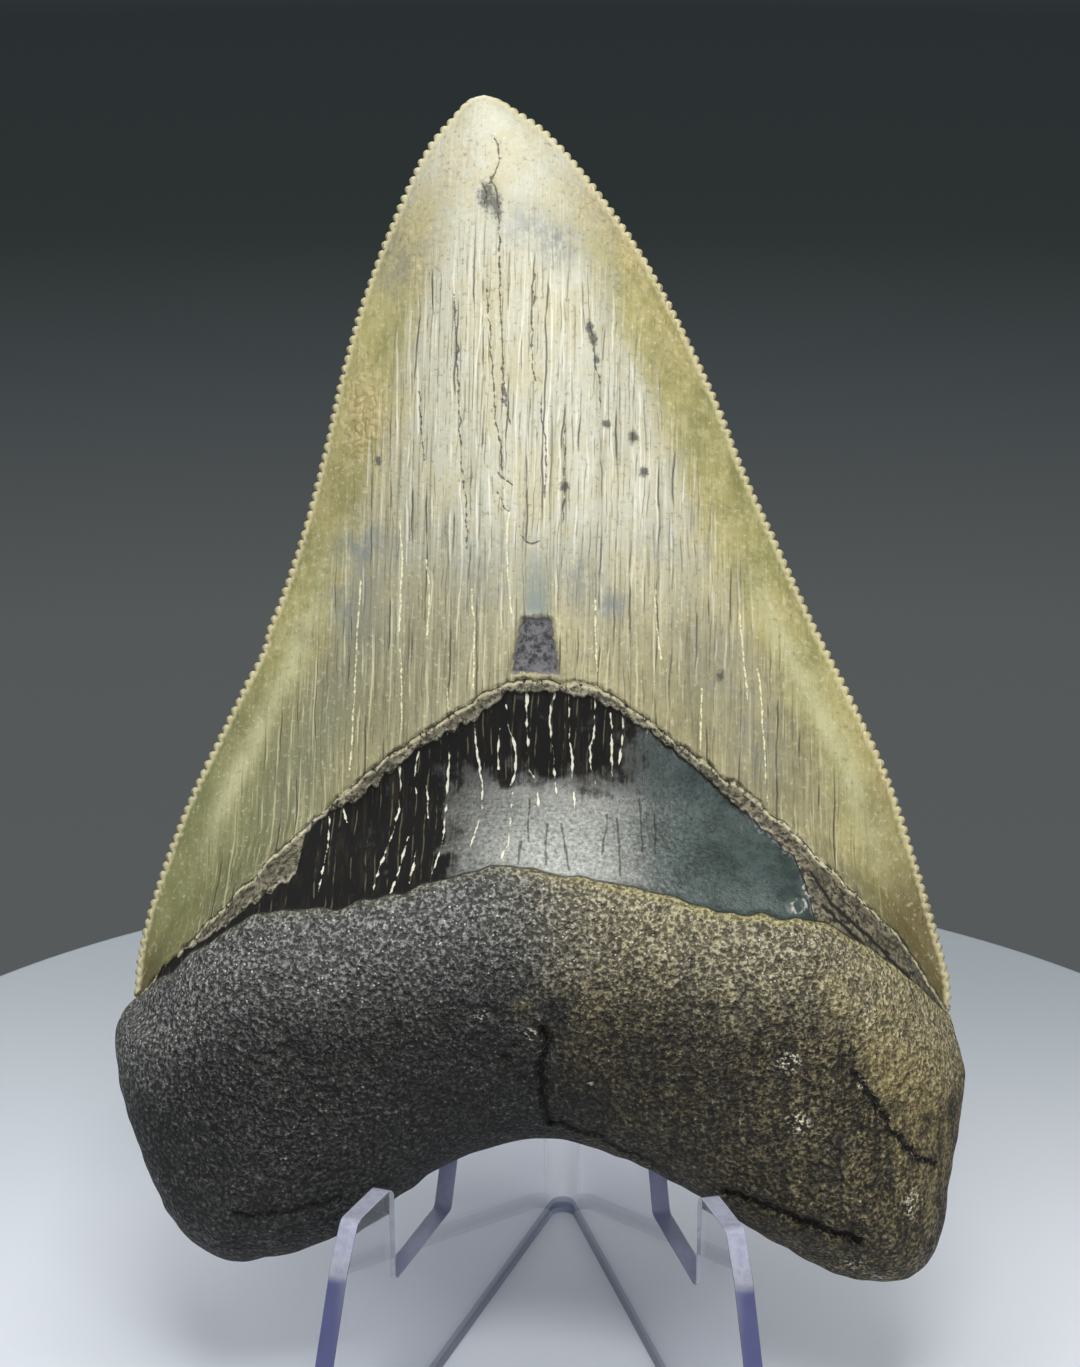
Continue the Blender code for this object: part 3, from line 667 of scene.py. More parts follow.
def colour_masks(seen, is_front):
    """Where each stain, painted highlight and painted shade lies, 0 to 1; every reach is in mm on
    the sheet of paper.
    """
    across, up, side, rim = seen["across"], seen["up"], seen["side"], seen["rim"]
    masks = {name: spots_mask(across, up, spots) for name, spots in STAINS.items()}
    if not is_front:
        masks["blue"] = 0.5 * spots_mask(across, up, LABIAL_BLUE)
        masks["dots"] = np.zeros(len(across))
    masks["olive"] = smoothstep(9.0, 3.0, rim) * smoothstep(114.0, 96.0, up)
    masks["low"] = smoothstep(78.0, 52.0, up)
    # Olive-green on the crown's lower left, and painted shade there too.
    masks["green"] = smoothstep(-12.0, -36.0, across) * smoothstep(70.0, 44.0, up)
    masks["inner"] = (np.exp(-((rim - 3.8) / 1.3) ** 2) * smoothstep(74.0, 60.0, up)
                      * smoothstep(32.0, 48.0, up))
    # Greyish band inside the crown's edge, low down and weaker on the right: a grey tint with
    # painted shade on the left side.
    on_right = smoothstep(-4.0, 4.0, across)
    cool_and_shade = np.exp(-((rim - 10.0) / 4.5) ** 2) * smoothstep(76.0, 60.0, up) * (1.0 - 0.75 * on_right)
    masks["cool_and_shade"] = np.maximum(cool_and_shade, masks["cool_and_shade"])
    # Paler down the middle of the upper crown and at the tip: partly paler enamel, partly a painted
    # highlight.
    pale = smoothstep(0.95, 0.35, np.abs(side - 0.08)) * smoothstep(52.0, 82.0, up)
    masks["pale"] = np.maximum(pale, smoothstep(106.0, 116.0, up))

    over_root = up - line_height(BORDERS["over_root"][0], across)
    # Pale dust on the root's upper part, with a painted sheen where that part faces up to the
    # light.
    right_drop = 0.0025 * np.maximum(across - 5.0, 0.0) ** 2
    masks["dusty"] = smoothstep(-15.0, -2.0, over_root - right_drop)
    masks["warm_root"] = smoothstep(-7.0, 12.0, across + 0.15 * (up - 20.0))
    # Painted shade on the lower root, left of its right end, where the face turns down from the
    # light.
    shade_amount = 0.6 * smoothstep(-8.0, -18.0, over_root) * smoothstep(30.0, 12.0, across)
    masks["painted_root_shade"] = np.clip(shade_amount + masks["painted_root_shade"], 0.0, 1.0)
    masks["teal"] = smoothstep(5.0, 13.0, across)
    # Grey bare dentine in the middle of the band, made paler as a painted highlight.
    masks["silver"] = np.exp(-((across - 1.0) / 10.0) ** 2) * smoothstep(50.0, 41.0, up)
    masks["deposit"] = np.maximum(smoothstep(-8.5, -13.5, across + 0.12 * (up - 45.0)),
                                  smoothstep(44.0, 51.0, up) * smoothstep(13.0, 4.0, across))
    return masks


def skin_data(points, seen, is_front):
    """The values that the tooth's material reads at each vertex."""
    data = colour_masks(seen, is_front)
    data["rim"] = seen["rim"]
    line_names = [group[0] for group in CRACK_GROUPS] + ["ring"]
    if is_front:
        for name in list(BORDERS) + line_names:
            data[name] = seen[name]
        corners = np.array(SCAR)
        inside = np.where(is_inside(corners, points), 1.0, -1.0)
        data["scar"] = inside * distance_to(corners, points)
        data["trough"] = trough_share(seen["across"], seen["up"])
        return data
    over = seen["up"] - line_height(LABIAL_LINE, seen["across"]) - 0.8 * ripple(points, 3.0, 50.0)
    data.update({name: over for name in BORDERS})
    data.update({name: np.full(len(points), FAR) for name in line_names})
    data["scar"] = np.full(len(points), -FAR)
    data["trough"] = np.zeros(len(points))
    return data


def build_tooth():
    """The fossil tooth, lingual face fine and labial face coarser, one closed skin."""
    left, right = crown_edges()
    outline = tooth_outline(left, right)
    smooth = np.vstack([left, right[::-1][1:],
                        through((CROWN_RIGHT[-1],) + ROOT + (CROWN_LEFT[0],), 0.5)[1:-1]])
    paths = crack_paths()
    span = np.arange(-43.2, 41.2, 0.35)
    lines = [line for group in paths.values() for line in group]
    for name in BORDERS:
        middle = np.column_stack([span, border(name, span)])
        for offset in (-0.14, 0.14):
            lines.append(middle + (0.0, offset))
    frame_of_scar = resample(np.array(SCAR + SCAR[:1]), 0.35)
    for offset in (-0.1, 0.1):
        lines.append(frame_of_scar + outward(frame_of_scar) * offset)

    back_line = np.column_stack([span, line_height(LABIAL_LINE, span)])
    faces_of_tooth = []
    for is_front, pitch, crowded, least, kept_lines in (
            (True, FRONT_PITCH, lines, 0.2, lines), (False, BACK_PITCH, [back_line], 0.3, [])):
        points = keep_clear(lattice(outline, smooth, pitch), crowded, least)
        flat, corners, rim = triangulate(outline, points, kept_lines)
        seen = survey(flat, outline, left, right, paths)
        edge, fore = front_relief(flat, seen, paths) if is_front else back_relief(flat, seen)
        fore[rim] = edge[rim]
        skin = skin_data(flat, seen, is_front)
        faces_of_tooth.append((flat, corners, rim, np.column_stack([flat, fore]), skin))
    (front_flat, front_faces, front_rim, front_spots, front_skin), \
        (back_flat, back_faces, back_rim, back_spots, back_skin) = faces_of_tooth

    # Both faces share the points of the rim.
    spots = np.vstack([front_spots, back_spots])
    joined = {}
    for index in np.flatnonzero(front_rim):
        joined[tuple(np.round(front_flat[index], 5))] = index
    relabel = np.arange(len(back_flat)) + len(front_flat)
    for index in np.flatnonzero(back_rim):
        relabel[index] = joined[tuple(np.round(back_flat[index], 5))]
    faces = np.vstack([front_faces, relabel[back_faces][:, ::-1]])
    used = np.unique(faces)
    number = np.full(len(spots), -1)
    number[used] = np.arange(len(used))

    mesh = bpy.data.meshes.new("fossil_tooth")
    mesh.from_pydata(place(spots)[used].tolist(), [], number[faces].tolist())
    for name in front_skin:
        values = np.concatenate([front_skin[name], back_skin[name]])[used]
        layer = mesh.attributes.new(name, "FLOAT", "POINT")
        layer.data.foreach_set("value", values.astype(np.float32))
    paper = mesh.attributes.new("paper", "FLOAT_VECTOR", "POINT")
    paper.data.foreach_set("vector", spots[used].astype(np.float32).ravel())
    mesh.shade_smooth()
    mesh.update()
    tooth = bpy.data.objects.new("fossil_tooth", mesh)
    bpy.context.scene.collection.objects.link(tooth)
    return tooth


def colour(code):
    """sRGB hex to linear red, green, blue and full alpha."""
    parts = [int(code[i:i + 2], 16) / 255.0 for i in (1, 3, 5)]
    linear = [c / 12.92 if c <= 0.04045 else ((c + 0.055) / 1.055) ** 2.4 for c in parts]
    return (*linear, 1.0)


class Graph:
    """The node tree of one material or of the studio, built one node at a time."""

    def __init__(self, owner):
        owner.use_nodes = True
        self.tree = owner.node_tree

    def add(self, kind, *values, out=0, **settings):
        """One node: its settings, a value or a link for each input, and back an output."""
        node = self.tree.nodes.new("ShaderNode" + kind)
        for key, value in settings.items():
            setattr(node, key, value)
        sockets = [socket for socket in node.inputs if socket.enabled]
        for socket, value in zip(sockets, values):
            if value is not None:
                self.feed(socket, value)
        return [socket for socket in node.outputs if socket.enabled][out]

    def feed(self, socket, value):
        """A link, a number or a colour's hex code into one input."""
        if isinstance(value, bpy.types.NodeSocket):
            self.tree.links.new(value, socket)
        else:
            socket.default_value = colour(value) if isinstance(value, str) else value

    def end(self, node, **values):
        """Settings or links on one of the tree's standing nodes."""
        for key, value in values.items():
            self.feed(self.tree.nodes[node].inputs[key.replace("_", " ")], value)


SOFT = {"interpolation_type": "SMOOTHSTEP"}
RGBA = {"data_type": "RGBA"}
TIMES = {"operation": "MULTIPLY"}
PLUS = {"operation": "ADD"}
MINUS = {"operation": "SUBTRACT"}


SOFT = {"interpolation_type": "SMOOTHSTEP"}
RGBA = {"data_type": "RGBA"}
TIMES = {"operation": "MULTIPLY"}
PLUS = {"operation": "ADD"}
MINUS = {"operation": "SUBTRACT"}
SIZE_ONLY = {"operation": "ABSOLUTE"}


def mottling(g, where, size, detail, rough, shift, stretch=(1.0, 1.0, 1.0)):
    """Cloudy pattern whose blotches are about one size across, in mm."""
    scale = tuple(part / size for part in stretch)
    placed = g.add("Mapping", where, (shift, shift, shift), None, scale)
    return g.add("TexNoise", placed, 1.0, detail, rough)


def patchy(g, share, pattern, *reach):
    """Share of a stain or of painted light or shade, broken up into patches by a pattern."""
    return g.add("Math", share, g.add("MapRange", pattern, *reach, **SOFT), **TIMES)


def frayed(g, distance, pattern, *reach):
    """A border or a line whose distance a pattern pushes to and fro."""
    return g.add("Math", distance, g.add("MapRange", pattern, *reach), **PLUS)


def relief(g, *parts):
    """Fine relief in mm: each pattern times its own height, added up."""
    total = 0.0
    for pattern, height in parts:
        total = g.add("Math", pattern, height, total, operation="MULTIPLY_ADD")
    return total


def upright_lines(g, where, spacing, half_width, run, seed):
    """Crisp lines that climb the crown, a little off straight, broken here and there.

    Spacing, half width and the length of a run are in mm.
    """
    add = g.add
    across = add("SeparateXYZ", where)
    up = add("SeparateXYZ", where, out=1)
    sway = mottling(g, where, 11.0, 4.0, 0.5, seed, (1.0, 1.0, 0.0))
    shaken = add("Math", across, add("Math", sway, 1.6, **TIMES), **PLUS)
    lane = add("Math", shaken, 1.0 / spacing, **TIMES)
    cell = add("Math", lane, operation="FLOOR")
    part = add("Math", lane, operation="FRACT")
    chance = add("TexWhiteNoise", add("Math", cell, seed, **PLUS), noise_dimensions="1D")
    middle = add("MapRange", chance, 0.0, 1.0, 0.2, 0.8)
    away = add("Math", add("Math", part, middle, **MINUS), **SIZE_ONLY)
    away = add("Math", away, spacing, **TIMES)
    along = add("Math", up, 1.0 / run, **TIMES)
    here = add("CombineXYZ", add("Math", cell, 5.37, **TIMES), along, seed)
    shown = add("MapRange", add("TexNoise", here, 1.0, 2.0, 0.6), 0.44, 0.60, **SOFT)
    width = add("Math", shown, half_width, **TIMES)
    outer = add("Math", width, 0.07, **PLUS)
    line = add("MapRange", away, outer, add("Math", width, 0.4, **TIMES), **SOFT)
    return add("Math", line, shown, **TIMES)


def enamel(g, where, seen):
    """Crown: hard smooth phosphate enamel, stained by what it lay in.

    Cream in the middle, with a painted highlight down the centre; olive
    where minerals soaked in from the cutting edges, with painted shade on
    the lower left; fine upright growth lines, dirt in some and pale mineral
    in others.
    """
    add = g.add
    up = add("SeparateXYZ", where, out=1)
    # Growth lines finer than 0.4 mm wouldn't show, so these stand for them.
    streaks = mottling(g, where, 0.40, 4.0, 0.62, 0.0, (1.0, 0.018, 0.2))
    bands = mottling(g, where, 2.4, 3.0, 0.55, 11.0, (1.0, 0.07, 0.2))
    # Clouds of stain 6 mm across, blotches of 1.5 mm and dirt specks of 0.5 mm.
    clouds = mottling(g, where, 6.0, 4.0, 0.62, 23.0, (1.0, 0.7, 1.0))
    mottle = mottling(g, where, 1.5, 4.0, 0.68, 37.0, (1.0, 0.8, 1.0))
    fine = mottling(g, where, 0.5, 3.0, 0.6, 5.0)
    ink = mottling(g, where, 1.4, 5.0, 0.75, 61.0, (1.0, 0.7, 1.0))
    lined = patchy(g, add("MapRange", up, 112.0, 99.0, **SOFT), seen["rim"], 2.5, 7.5)
    thin, deep, chalky = (add("Math", upright_lines(g, where, *lines), lined, **TIMES)
                          for lines in (FINE_LINES, DEEP_LINES, CHALK_LINES))

    olive = frayed(g, seen["olive"], clouds, 0.2, 0.8, -0.45, 0.45)
    clouded = add("MapRange", clouds, 0.30, 0.70, **SOFT)
    olive_tone = add("Mix", clouded, "#7b7940", "#a89f66", **RGBA)
    blotched = add("MapRange", mottle, 0.40, 0.70, 0.0, 0.5, **SOFT)
    olive_tone = add("Mix", blotched, olive_tone, "#c0b888", **RGBA)
    pale_tone = add("Mix", seen["low"], "#e8e6d8", "#c6c096", **RGBA)
    # Wrinkles where roots or worms have etched the edge, 1.3 mm apart.
    worm = add("Math", mottling(g, where, 1.3, 1.0, 0.5, 71.0), 0.5, **MINUS)
    worm = add("Math", worm, **SIZE_ONLY)
    worm_tone = add("Mix", add("MapRange", worm, 0.02, 0.07, **SOFT), "#9c8556", "#c6b084", **RGBA)
    dotted = frayed(g, seen["dots"], fine, 0.3, 0.7, -0.25, 0.25)
    crack = frayed(g, seen["crown_crack"], fine, 0.3, 0.7, 0.0, 0.22)
    crack = add("MapRange", crack, 0.23, 0.10, 0.0, 0.8, **SOFT)
    vein = frayed(g, seen["vein"], fine, 0.3, 0.7, 0.0, 0.25)
    scuffed = add("MapRange", mottling(g, where, 0.8, 4.0, 0.75, 81.0), 0.38, 0.62, **SOFT)
    scar_tone = add("Mix", scuffed, "#2a2a2e", "#6c6a6c", **RGBA)
    in_scar = frayed(g, seen["scar"], scuffed, 0.0, 1.0, -0.25, 0.1)
    in_scar = add("MapRange", in_scar, -0.15, 0.15, **SOFT)
    # Painted shade along the enamel's lower edge, where it overhangs the band.
    edge_shade = add("MapRange", seen["over_enamel"], 0.5, 0.15, **SOFT)

    # Paler where the crown's centre holds a painted highlight.
    tone = add("Mix", seen["pale"], "#949175", "#c2c2b1", **RGBA)
    for share, overlay in (
            (seen["low"], "#857f5b"),
            (add("MapRange", clouds, 0.38, 0.66, 0.0, 0.45, **SOFT), "#c3b78d"),
            (add("MapRange", mottle, 0.40, 0.66, 0.0, 0.35, **SOFT), "#b5a87c"),
            # Grey tint with painted shade, mostly on the crown's lower left.
            (patchy(g, seen["cool_and_shade"], clouds, 0.25, 0.6, 0.5, 0.95), "#7d7c66"),
            (add("MapRange", olive, 0.0, 0.95, 0.0, 0.92, **SOFT), olive_tone),
            # Olive-green and painted shade on the crown's lower left.
            (add("Math", seen["green"], 0.7, **TIMES), "#6c7048"),
            (patchy(g, seen["inner"], clouds, 0.3, 0.6, 0.35, 0.85), "#bcb98f"),
            (patchy(g, seen["tan"], mottle, 0.3, 0.6, 0.2, 0.7), worm_tone),
            (add("Math", seen["corner"], 0.85, **TIMES), "#5f5230"),
            (add("MapRange", fine, 0.56, 0.72, 0.0, 0.35, **SOFT), "#dfdac4"),
            (add("MapRange", fine, 0.43, 0.30, 0.0, 0.5, **SOFT), "#6f6a4c"),
            (patchy(g, lined, bands, 0.46, 0.30, 0.0, 0.4), "#7f795c"),
            (patchy(g, lined, streaks, 0.47, 0.30, 0.0, 0.55), "#5d5840"),
            (patchy(g, lined, streaks, 0.52, 0.72, 0.0, 0.5), pale_tone),
            (add("Math", thin, 0.6, **TIMES), "#5b5643"),
            (add("Math", deep, 0.8, **TIMES), "#444036"),
            (add("Math", chalky, 0.6, **TIMES), pale_tone),
            (patchy(g, seen["blue"], ink, 0.34, 0.60, 0.15, 0.9), "#757b7b"),
            (add("MapRange", dotted, 0.25, 0.75, 0.0, 0.85, **SOFT), "#3a3b38"),
            (crack, "#3b382e"),
            (add("MapRange", vein, 0.24, 0.12, 0.0, 0.85, **SOFT), "#e6e0b8"),
            (patchy(g, seen["trough"], mottle, 0.3, 0.6, 0.65, 0.95), "#7c8782"),
            (in_scar, scar_tone),
            (add("MapRange", seen["rim"], 0.75, 0.25, 0.0, 0.75, **SOFT), "#ddd3a8"),
            (patchy(g, edge_shade, mottle, 0.45, 0.6, 0.0, 0.8), "#26231a")):
        tone = add("Mix", share, tone, overlay, **RGBA)

    rough = add("MapRange", streaks, 0.3, 0.7, 0.30, 0.46)
    rough = add("Math", in_scar, 0.3, rough, operation="MULTIPLY_ADD")
    cut = add("Math", deep, crack, operation="MAXIMUM")
    worn = add("Math", worm, seen["tan"], **TIMES)
    return tone, rough, relief(g, (streaks, 0.10), (fine, 0.05), (cut, -0.08), (worn, 0.8))


def dark_band(g, where, seen):
    """Band between enamel and root: bare dentine, smooth, with a mineral crust.

    Almost black and dull under the crust, grey and glossy where it has come
    off, teal on the right, with cream mineral in the open cracks.
    """
    add = g.add
    streaks = mottling(g, where, 0.6, 4.0, 0.65, 13.0, (1.0, 0.07, 0.2))
    patches = mottling(g, where, 2.6, 4.0, 0.62, 17.0)
    fine = mottling(g, where, 0.42, 3.0, 0.7, 19.0)
    # The fills swell and pinch along their length like beads 0.9 mm apart.
    beads = mottling(g, where, 0.9, 2.0, 0.6, 29.0, (1.0, 0.6, 1.0))

    patched = add("MapRange", patches, 0.35, 0.65, **SOFT)
    teal_tone = add("Mix", patched, "#2d3735", "#414e4b", **RGBA)
    seam = add("Math", beads, 0.4, seen["seam"], operation="MULTIPLY_ADD")
    seam = add("MapRange", seam, 0.36, 0.20, **SOFT)
    # Grey bare dentine, paler where a highlight is painted.
    tone = add("Mix", seen["silver"], "#30302c", "#8a8c86", **RGBA)
    crust = add("Mix", add("MapRange", streaks, 0.50, 0.72, **SOFT), "#060605", "#241f15", **RGBA)
    faint = add("Math", upright_lines(g, where, *CRUST_LINES), 0.25, **TIMES)
    crust = add("Mix", faint, crust, "#9c9372", **RGBA)
    crusted = frayed(g, seen["deposit"], patches, 0.25, 0.75, -0.5, 0.5)
    crusted = frayed(g, crusted, streaks, 0.3, 0.7, -0.2, 0.2)
    crusted = add("MapRange", crusted, 0.22, 0.78, **SOFT)
    filled = frayed(g, seen["band_crack"], beads, 0.32, 0.68, -0.04, 0.26)
    filled = add("MapRange", filled, 0.21, 0.10, **SOFT)
    ringed = frayed(g, seen["ring"], beads, 0.35, 0.65, 0.0, 0.4)
    for share, overlay in (
            (seen["teal"], teal_tone),
            (patchy(g, seen["silver"], fine, 0.48, 0.68, 0.15, 0.8), "#c6c8c2"),
            (add("MapRange", fine, 0.46, 0.32, 0.0, 0.55, **SOFT), "#242623"),
            (add("Math", seam, 0.7, **TIMES), "#2a2a26"),
            (crusted, crust),
            (filled, "#d6d3c0"),
            # Painted shadow in the band just under the strip's edge.
            (add("MapRange", seen["over_strip"], -0.7, -0.1, 0.0, 0.85, **SOFT), "#17150f"),
            (add("MapRange", ringed, 0.36, 0.14, **SOFT), "#a3a398")):
        tone = add("Mix", share, tone, overlay, **RGBA)

    rough = add("Mix", crusted, add("MapRange", fine, 0.3, 0.7, 0.22, 0.38), 0.95)
    return tone, rough, relief(g, (fine, 0.06), (filled, 0.10), (seam, -0.08))


def broken_strip(g, where, seen):
    """Crumbly strip where the enamel's foot has flaked away, dull and granular."""
    add = g.add
    crumbs = mottling(g, where, 0.6, 4.0, 0.72, 43.0)
    patches = mottling(g, where, 2.2, 3.0, 0.6, 47.0)
    lip = add("MapRange", seen["over_enamel"], -0.75, -0.35, **SOFT)
    foot = add("MapRange", seen["over_strip"], 0.6, 0.2, **SOFT)
    # Painted shade in the crevice under the enamel's edge.
    crevice_shade = add("MapRange", seen["over_enamel"], -0.30, -0.10, **SOFT)
    seam = add("Math", crumbs, 0.4, seen["seam"], operation="MULTIPLY_ADD")
    tone = add("Mix", add("MapRange", crumbs, 0.38, 0.62, **SOFT), "#1f1c16", "#8a836c", **RGBA)
    for share, overlay in (
            (add("MapRange", patches, 0.42, 0.6, 0.0, 0.55, **SOFT), "#3b382d"),
            (patchy(g, lip, crumbs, 0.38, 0.55, 0.0, 0.85), "#d0c8a4"),
            (patchy(g, foot, crumbs, 0.45, 0.6, 0.0, 0.7), "#aaa694"),
            (patchy(g, crevice_shade, patches, 0.38, 0.5), "#17150f"),
            (add("MapRange", seam, 0.48, 0.28, **SOFT), "#1b1811")):
        tone = add("Mix", share, tone, overlay, **RGBA)
    return tone, add("MapRange", crumbs, 0.3, 0.7, 0.55, 0.8), relief(g, (crumbs, 0.18))


def root_bone(g, where, seen):
    """Root: spongy bone turned to stone, dull, rough as coarse sandpaper.

    Charcoal on the left and brown on the right, grains about half a
    millimetre across, painted lighter on top as a highlight and darker in
    between as shade.
    """
    add = g.add
    # Grains under 0.4 mm wouldn't show, so the sizes run from 0.42 to 0.95 mm.
    domes = add("TexVoronoi", add("Mapping", where, None, None, (1.0 / GRAIN_SIZE,) * 3), 1.0)
    crumbs = mottling(g, where, 0.42, 3.0, 0.6, 89.0)
    patches = mottling(g, where, 3.2, 4.0, 0.62, 59.0)
    fibres = mottling(g, where, 1.0, 4.0, 0.6, 67.0, (1.0, 0.12, 0.3))
    pebbles = mottling(g, where, 0.95, 2.0, 0.5, 83.0)
    sand_grains = mottling(g, where, 0.42, 1.0, 0.5, 89.0)
    top = frayed(g, add("MapRange", domes, 0.7, 0.0, 0.0, 0.3), crumbs, 0.32, 0.70, 0.0, 0.85)

    # Each colour runs from painted shade between the grains to a painted highlight on their tops.
    charcoal, brown, sand = (
        add("Mix", add("MapRange", top, low, high, **SOFT), dark, light, **RGBA)
        for low, high, dark, light in ((0.35, 0.95, "#161615", "#575755"),
                                       (0.30, 0.90, "#2d281b", "#877b5a"),
                                       (0.25, 0.85, "#6e6342", "#ab9c70")))
    brownish = frayed(g, seen["warm_root"], patches, 0.2, 0.8, -0.4, 0.4)
    sandy = frayed(g, seen["sandy"], fibres, 0.3, 0.7, -0.3, 0.3)
    shade_amount = add("MapRange", patches, 0.3, 0.7, 0.42, 0.7)
    # Pale dust, with a painted sheen on the root's upper part.
    dust = add("Mix", seen["warm_root"], "#9d9d99", "#beb698", **RGBA)
    # Painted highlights: white glints where single crystal faces on the grains would flash, a few
    # to the millimetre.
    glints = add("Mapping", where, (3.1, 0.0, 0.0), None, (GLINTS_PER_MM,) * 3)
    chance = add("SeparateXYZ", add("TexVoronoi", glints, 1.0, out=1))
    painted_glint = add("MapRange", chance, 0.70, 0.85, **SOFT)
    painted_glint = patchy(g, painted_glint, add("TexVoronoi", glints, 1.0), 0.32, 0.16)
    in_dust_and_sheen = add("MapRange", seen["dusty"], 0.0, 0.8, 0.12, 0.8)
    brow = add("MapRange", seen["over_root"], -1.2, -0.2, **SOFT)
    brow = patchy(g, brow, crumbs, 0.4, 0.6, 0.2, 1.0)
    warm = add("MapRange", seen["warm_root"], 0.0, 1.0, 0.15, 0.8)
    crack = frayed(g, seen["root_crack"], crumbs, 0.3, 0.7, -0.1, 0.5)
    tone = add("Mix", add("MapRange", brownish, 0.2, 0.8, **SOFT), charcoal, brown, **RGBA)
    for share, overlay in (
            (patchy(g, seen["warm_root"], fibres, 0.53, 0.37, 0.0, 0.75), "#1d1911"),
            (add("MapRange", sandy, 0.2, 0.8, 0.0, 0.9, **SOFT), sand),
            # Painted shade on the lower root, broken up by the patches.
            (add("Math", seen["painted_root_shade"], shade_amount, **TIMES), "#14130f"),
            (add("MapRange", patches, 0.52, 0.34, 0.0, 0.6, **SOFT), "#12110f"),
            (patchy(g, seen["dusty"], top, 0.34, 0.88, 0.15, 0.9), dust),
            (add("Math", painted_glint, in_dust_and_sheen, **TIMES), "#dcdad2"),
            (patchy(g, add("MapRange", seen["specks"], 0.3, 0.9), crumbs, 0.50, 0.60), "#d6cfb9"),
            (add("MapRange", crumbs, 0.66, 0.76, 0.0, 0.6, **SOFT), "#c9c5b3"),
            (add("Math", brow, warm, **TIMES), "#b9b07c"),
            (add("MapRange", crack, 0.78, 0.34, **SOFT), "#0b0a08"),
            # Painted shade in the hollows between the pebbles.
            (add("MapRange", pebbles, 0.45, 0.34, 0.0, 0.45, **SOFT), "#14130f")):
        tone = add("Mix", share, tone, overlay, **RGBA)

    rough = add("MapRange", top, 0.3, 1.0, 0.80, 0.40)
    return tone, rough, relief(g, (pebbles, 1.15), (sand_grains, 0.55), (patches, 0.7))


def build_tooth_material(tooth):
    """Fossil shark tooth: enamel, broken strip, dark band and root on one skin."""
    material = bpy.data.materials.new("fossil enamel and root")
    g = Graph(material)
    add = g.add
    seen = {layer.name: add("Attribute", attribute_name=layer.name, out=2)
            for layer in tooth.data.attributes if layer.data_type == "FLOAT"}
    where = add("Attribute", attribute_name="paper", out=1)
    layers = (dark_band(g, where, seen), broken_strip(g, where, seen),
              enamel(g, where, seen), root_bone(g, where, seen))
    shares = (add("MapRange", seen["over_strip"], -0.14, 0.14, **SOFT),
              add("MapRange", seen["over_enamel"], -0.14, 0.06, **SOFT),
              add("MapRange", seen["over_root"], 0.10, -0.10, **SOFT))
    tone, rough, height = layers[0]
    for share, (next_tone, next_rough, next_height) in zip(shares, layers[1:]):
        tone = add("Mix", share, tone, next_tone, **RGBA)
        rough = add("Mix", share, rough, next_rough)
        height = add("Mix", share, height, next_height)
    normal = add("Bump", 1.0, MM, None, height)
    g.end("Principled BSDF", Base_Color=tone, Roughness=rough, Normal=normal, IOR=TOOTH_IOR,
          Specular_IOR_Level=0.3)
    return material


def build_acrylic(stand):
    """Clear cast acrylic sheet, faces polished, edges sawn and left a little frosted.

    The frost scatters the light, so the edges look pale lilac; low down,
    where the light has come the long way through the sheet, violet-blue.
    """
    material = bpy.data.materials.new("clear cast acrylic")
    g = Graph(material)
    add = g.add
    fold = stand.matrix_world.inverted() @ Vector((FOLD_X, FOLD_Y, 0.0))
    there = add("TexCoord", out=3)
    facing = add("TexCoord", out=1)
    from_fold = add("Math", add("SeparateXYZ", there), fold.x, **MINUS)
    flat_side = []
    for sign in (-1.0, 1.0):
        across_wing = (math.cos(WING_ANGLE), sign * math.sin(WING_ANGLE), 0.0)
        seen_flat = add("VectorMath", facing, across_wing, operation="DOT_PRODUCT")
        flat_side.append(add("Math", seen_flat, **SIZE_ONLY))
    is_right = add("Math", from_fold, 0.0, operation="GREATER_THAN")
    flat = add("Mix", is_right, flat_side[0], flat_side[1])
    reach = add("Math", from_fold, **SIZE_ONLY)
    level = add("Math", add("SeparateXYZ", facing, out=2), **SIZE_ONLY)
    bend_flat = add("Math", 1.0, level, **MINUS)
    flat = add("Mix", add("MapRange", reach, *BEND_REACH), flat, bend_flat)
    edge = add("MapRange", flat, 0.80, 0.50, **SOFT)

    height = add("SeparateXYZ", there, out=2)
    saw_marks = add("TexNoise", there, SAW_MARKS, 3.0, 0.6)
    pale = add("Mix", add("MapRange", saw_marks, 0.35, 0.65, **SOFT), "#cfd1e6", "#e6e8f4", **RGBA)
    is_pale = add("Math", add("MapRange", height, *PALE_ABOVE, **SOFT),
                  add("MapRange", reach, *PALE_BESIDE, 0.0, 0.45, **SOFT), operation="MAXIMUM")
    tint = add("Mix", is_pale, "#7378b4", pale, **RGBA)
    # Painted shade: the underside, which no light reaches from below, tinted dark grey-blue.
    under = add("MapRange", add("SeparateXYZ", facing, out=2), -0.6, -0.9, **SOFT)
    tint = add("Mix", under, tint, "#5d6478", **RGBA)
    # Painted shade: a grey stripe at the foot of each side, where the frosted underside would show
    # through.
    foot = add("MapRange", height, *FOOT_STRIPE, **SOFT)
    side = add("Mix", foot, "#ffffff", "#7d8294", **RGBA)
    tone = add("Mix", edge, side, tint, **RGBA)
    haze = add("MapRange", add("TexNoise", there, SMEARS, 4.0), 0.4, 0.8, 0.01, 0.08)
    rough = add("Mix", edge, haze, add("MapRange", saw_marks, 0.3, 0.7, 0.35, 0.55))
    clear = add("MapRange", edge, 0.0, 1.0, 1.0, 0.65)
    g.end("Principled BSDF", Base_Color=tone, Roughness=rough, Transmission_Weight=clear,
          IOR=ACRYLIC_IOR)
    g.end("Material Output", Volume=add("VolumeAbsorption", "#c3c6f2", ACRYLIC_ABSORPTION))
    return material


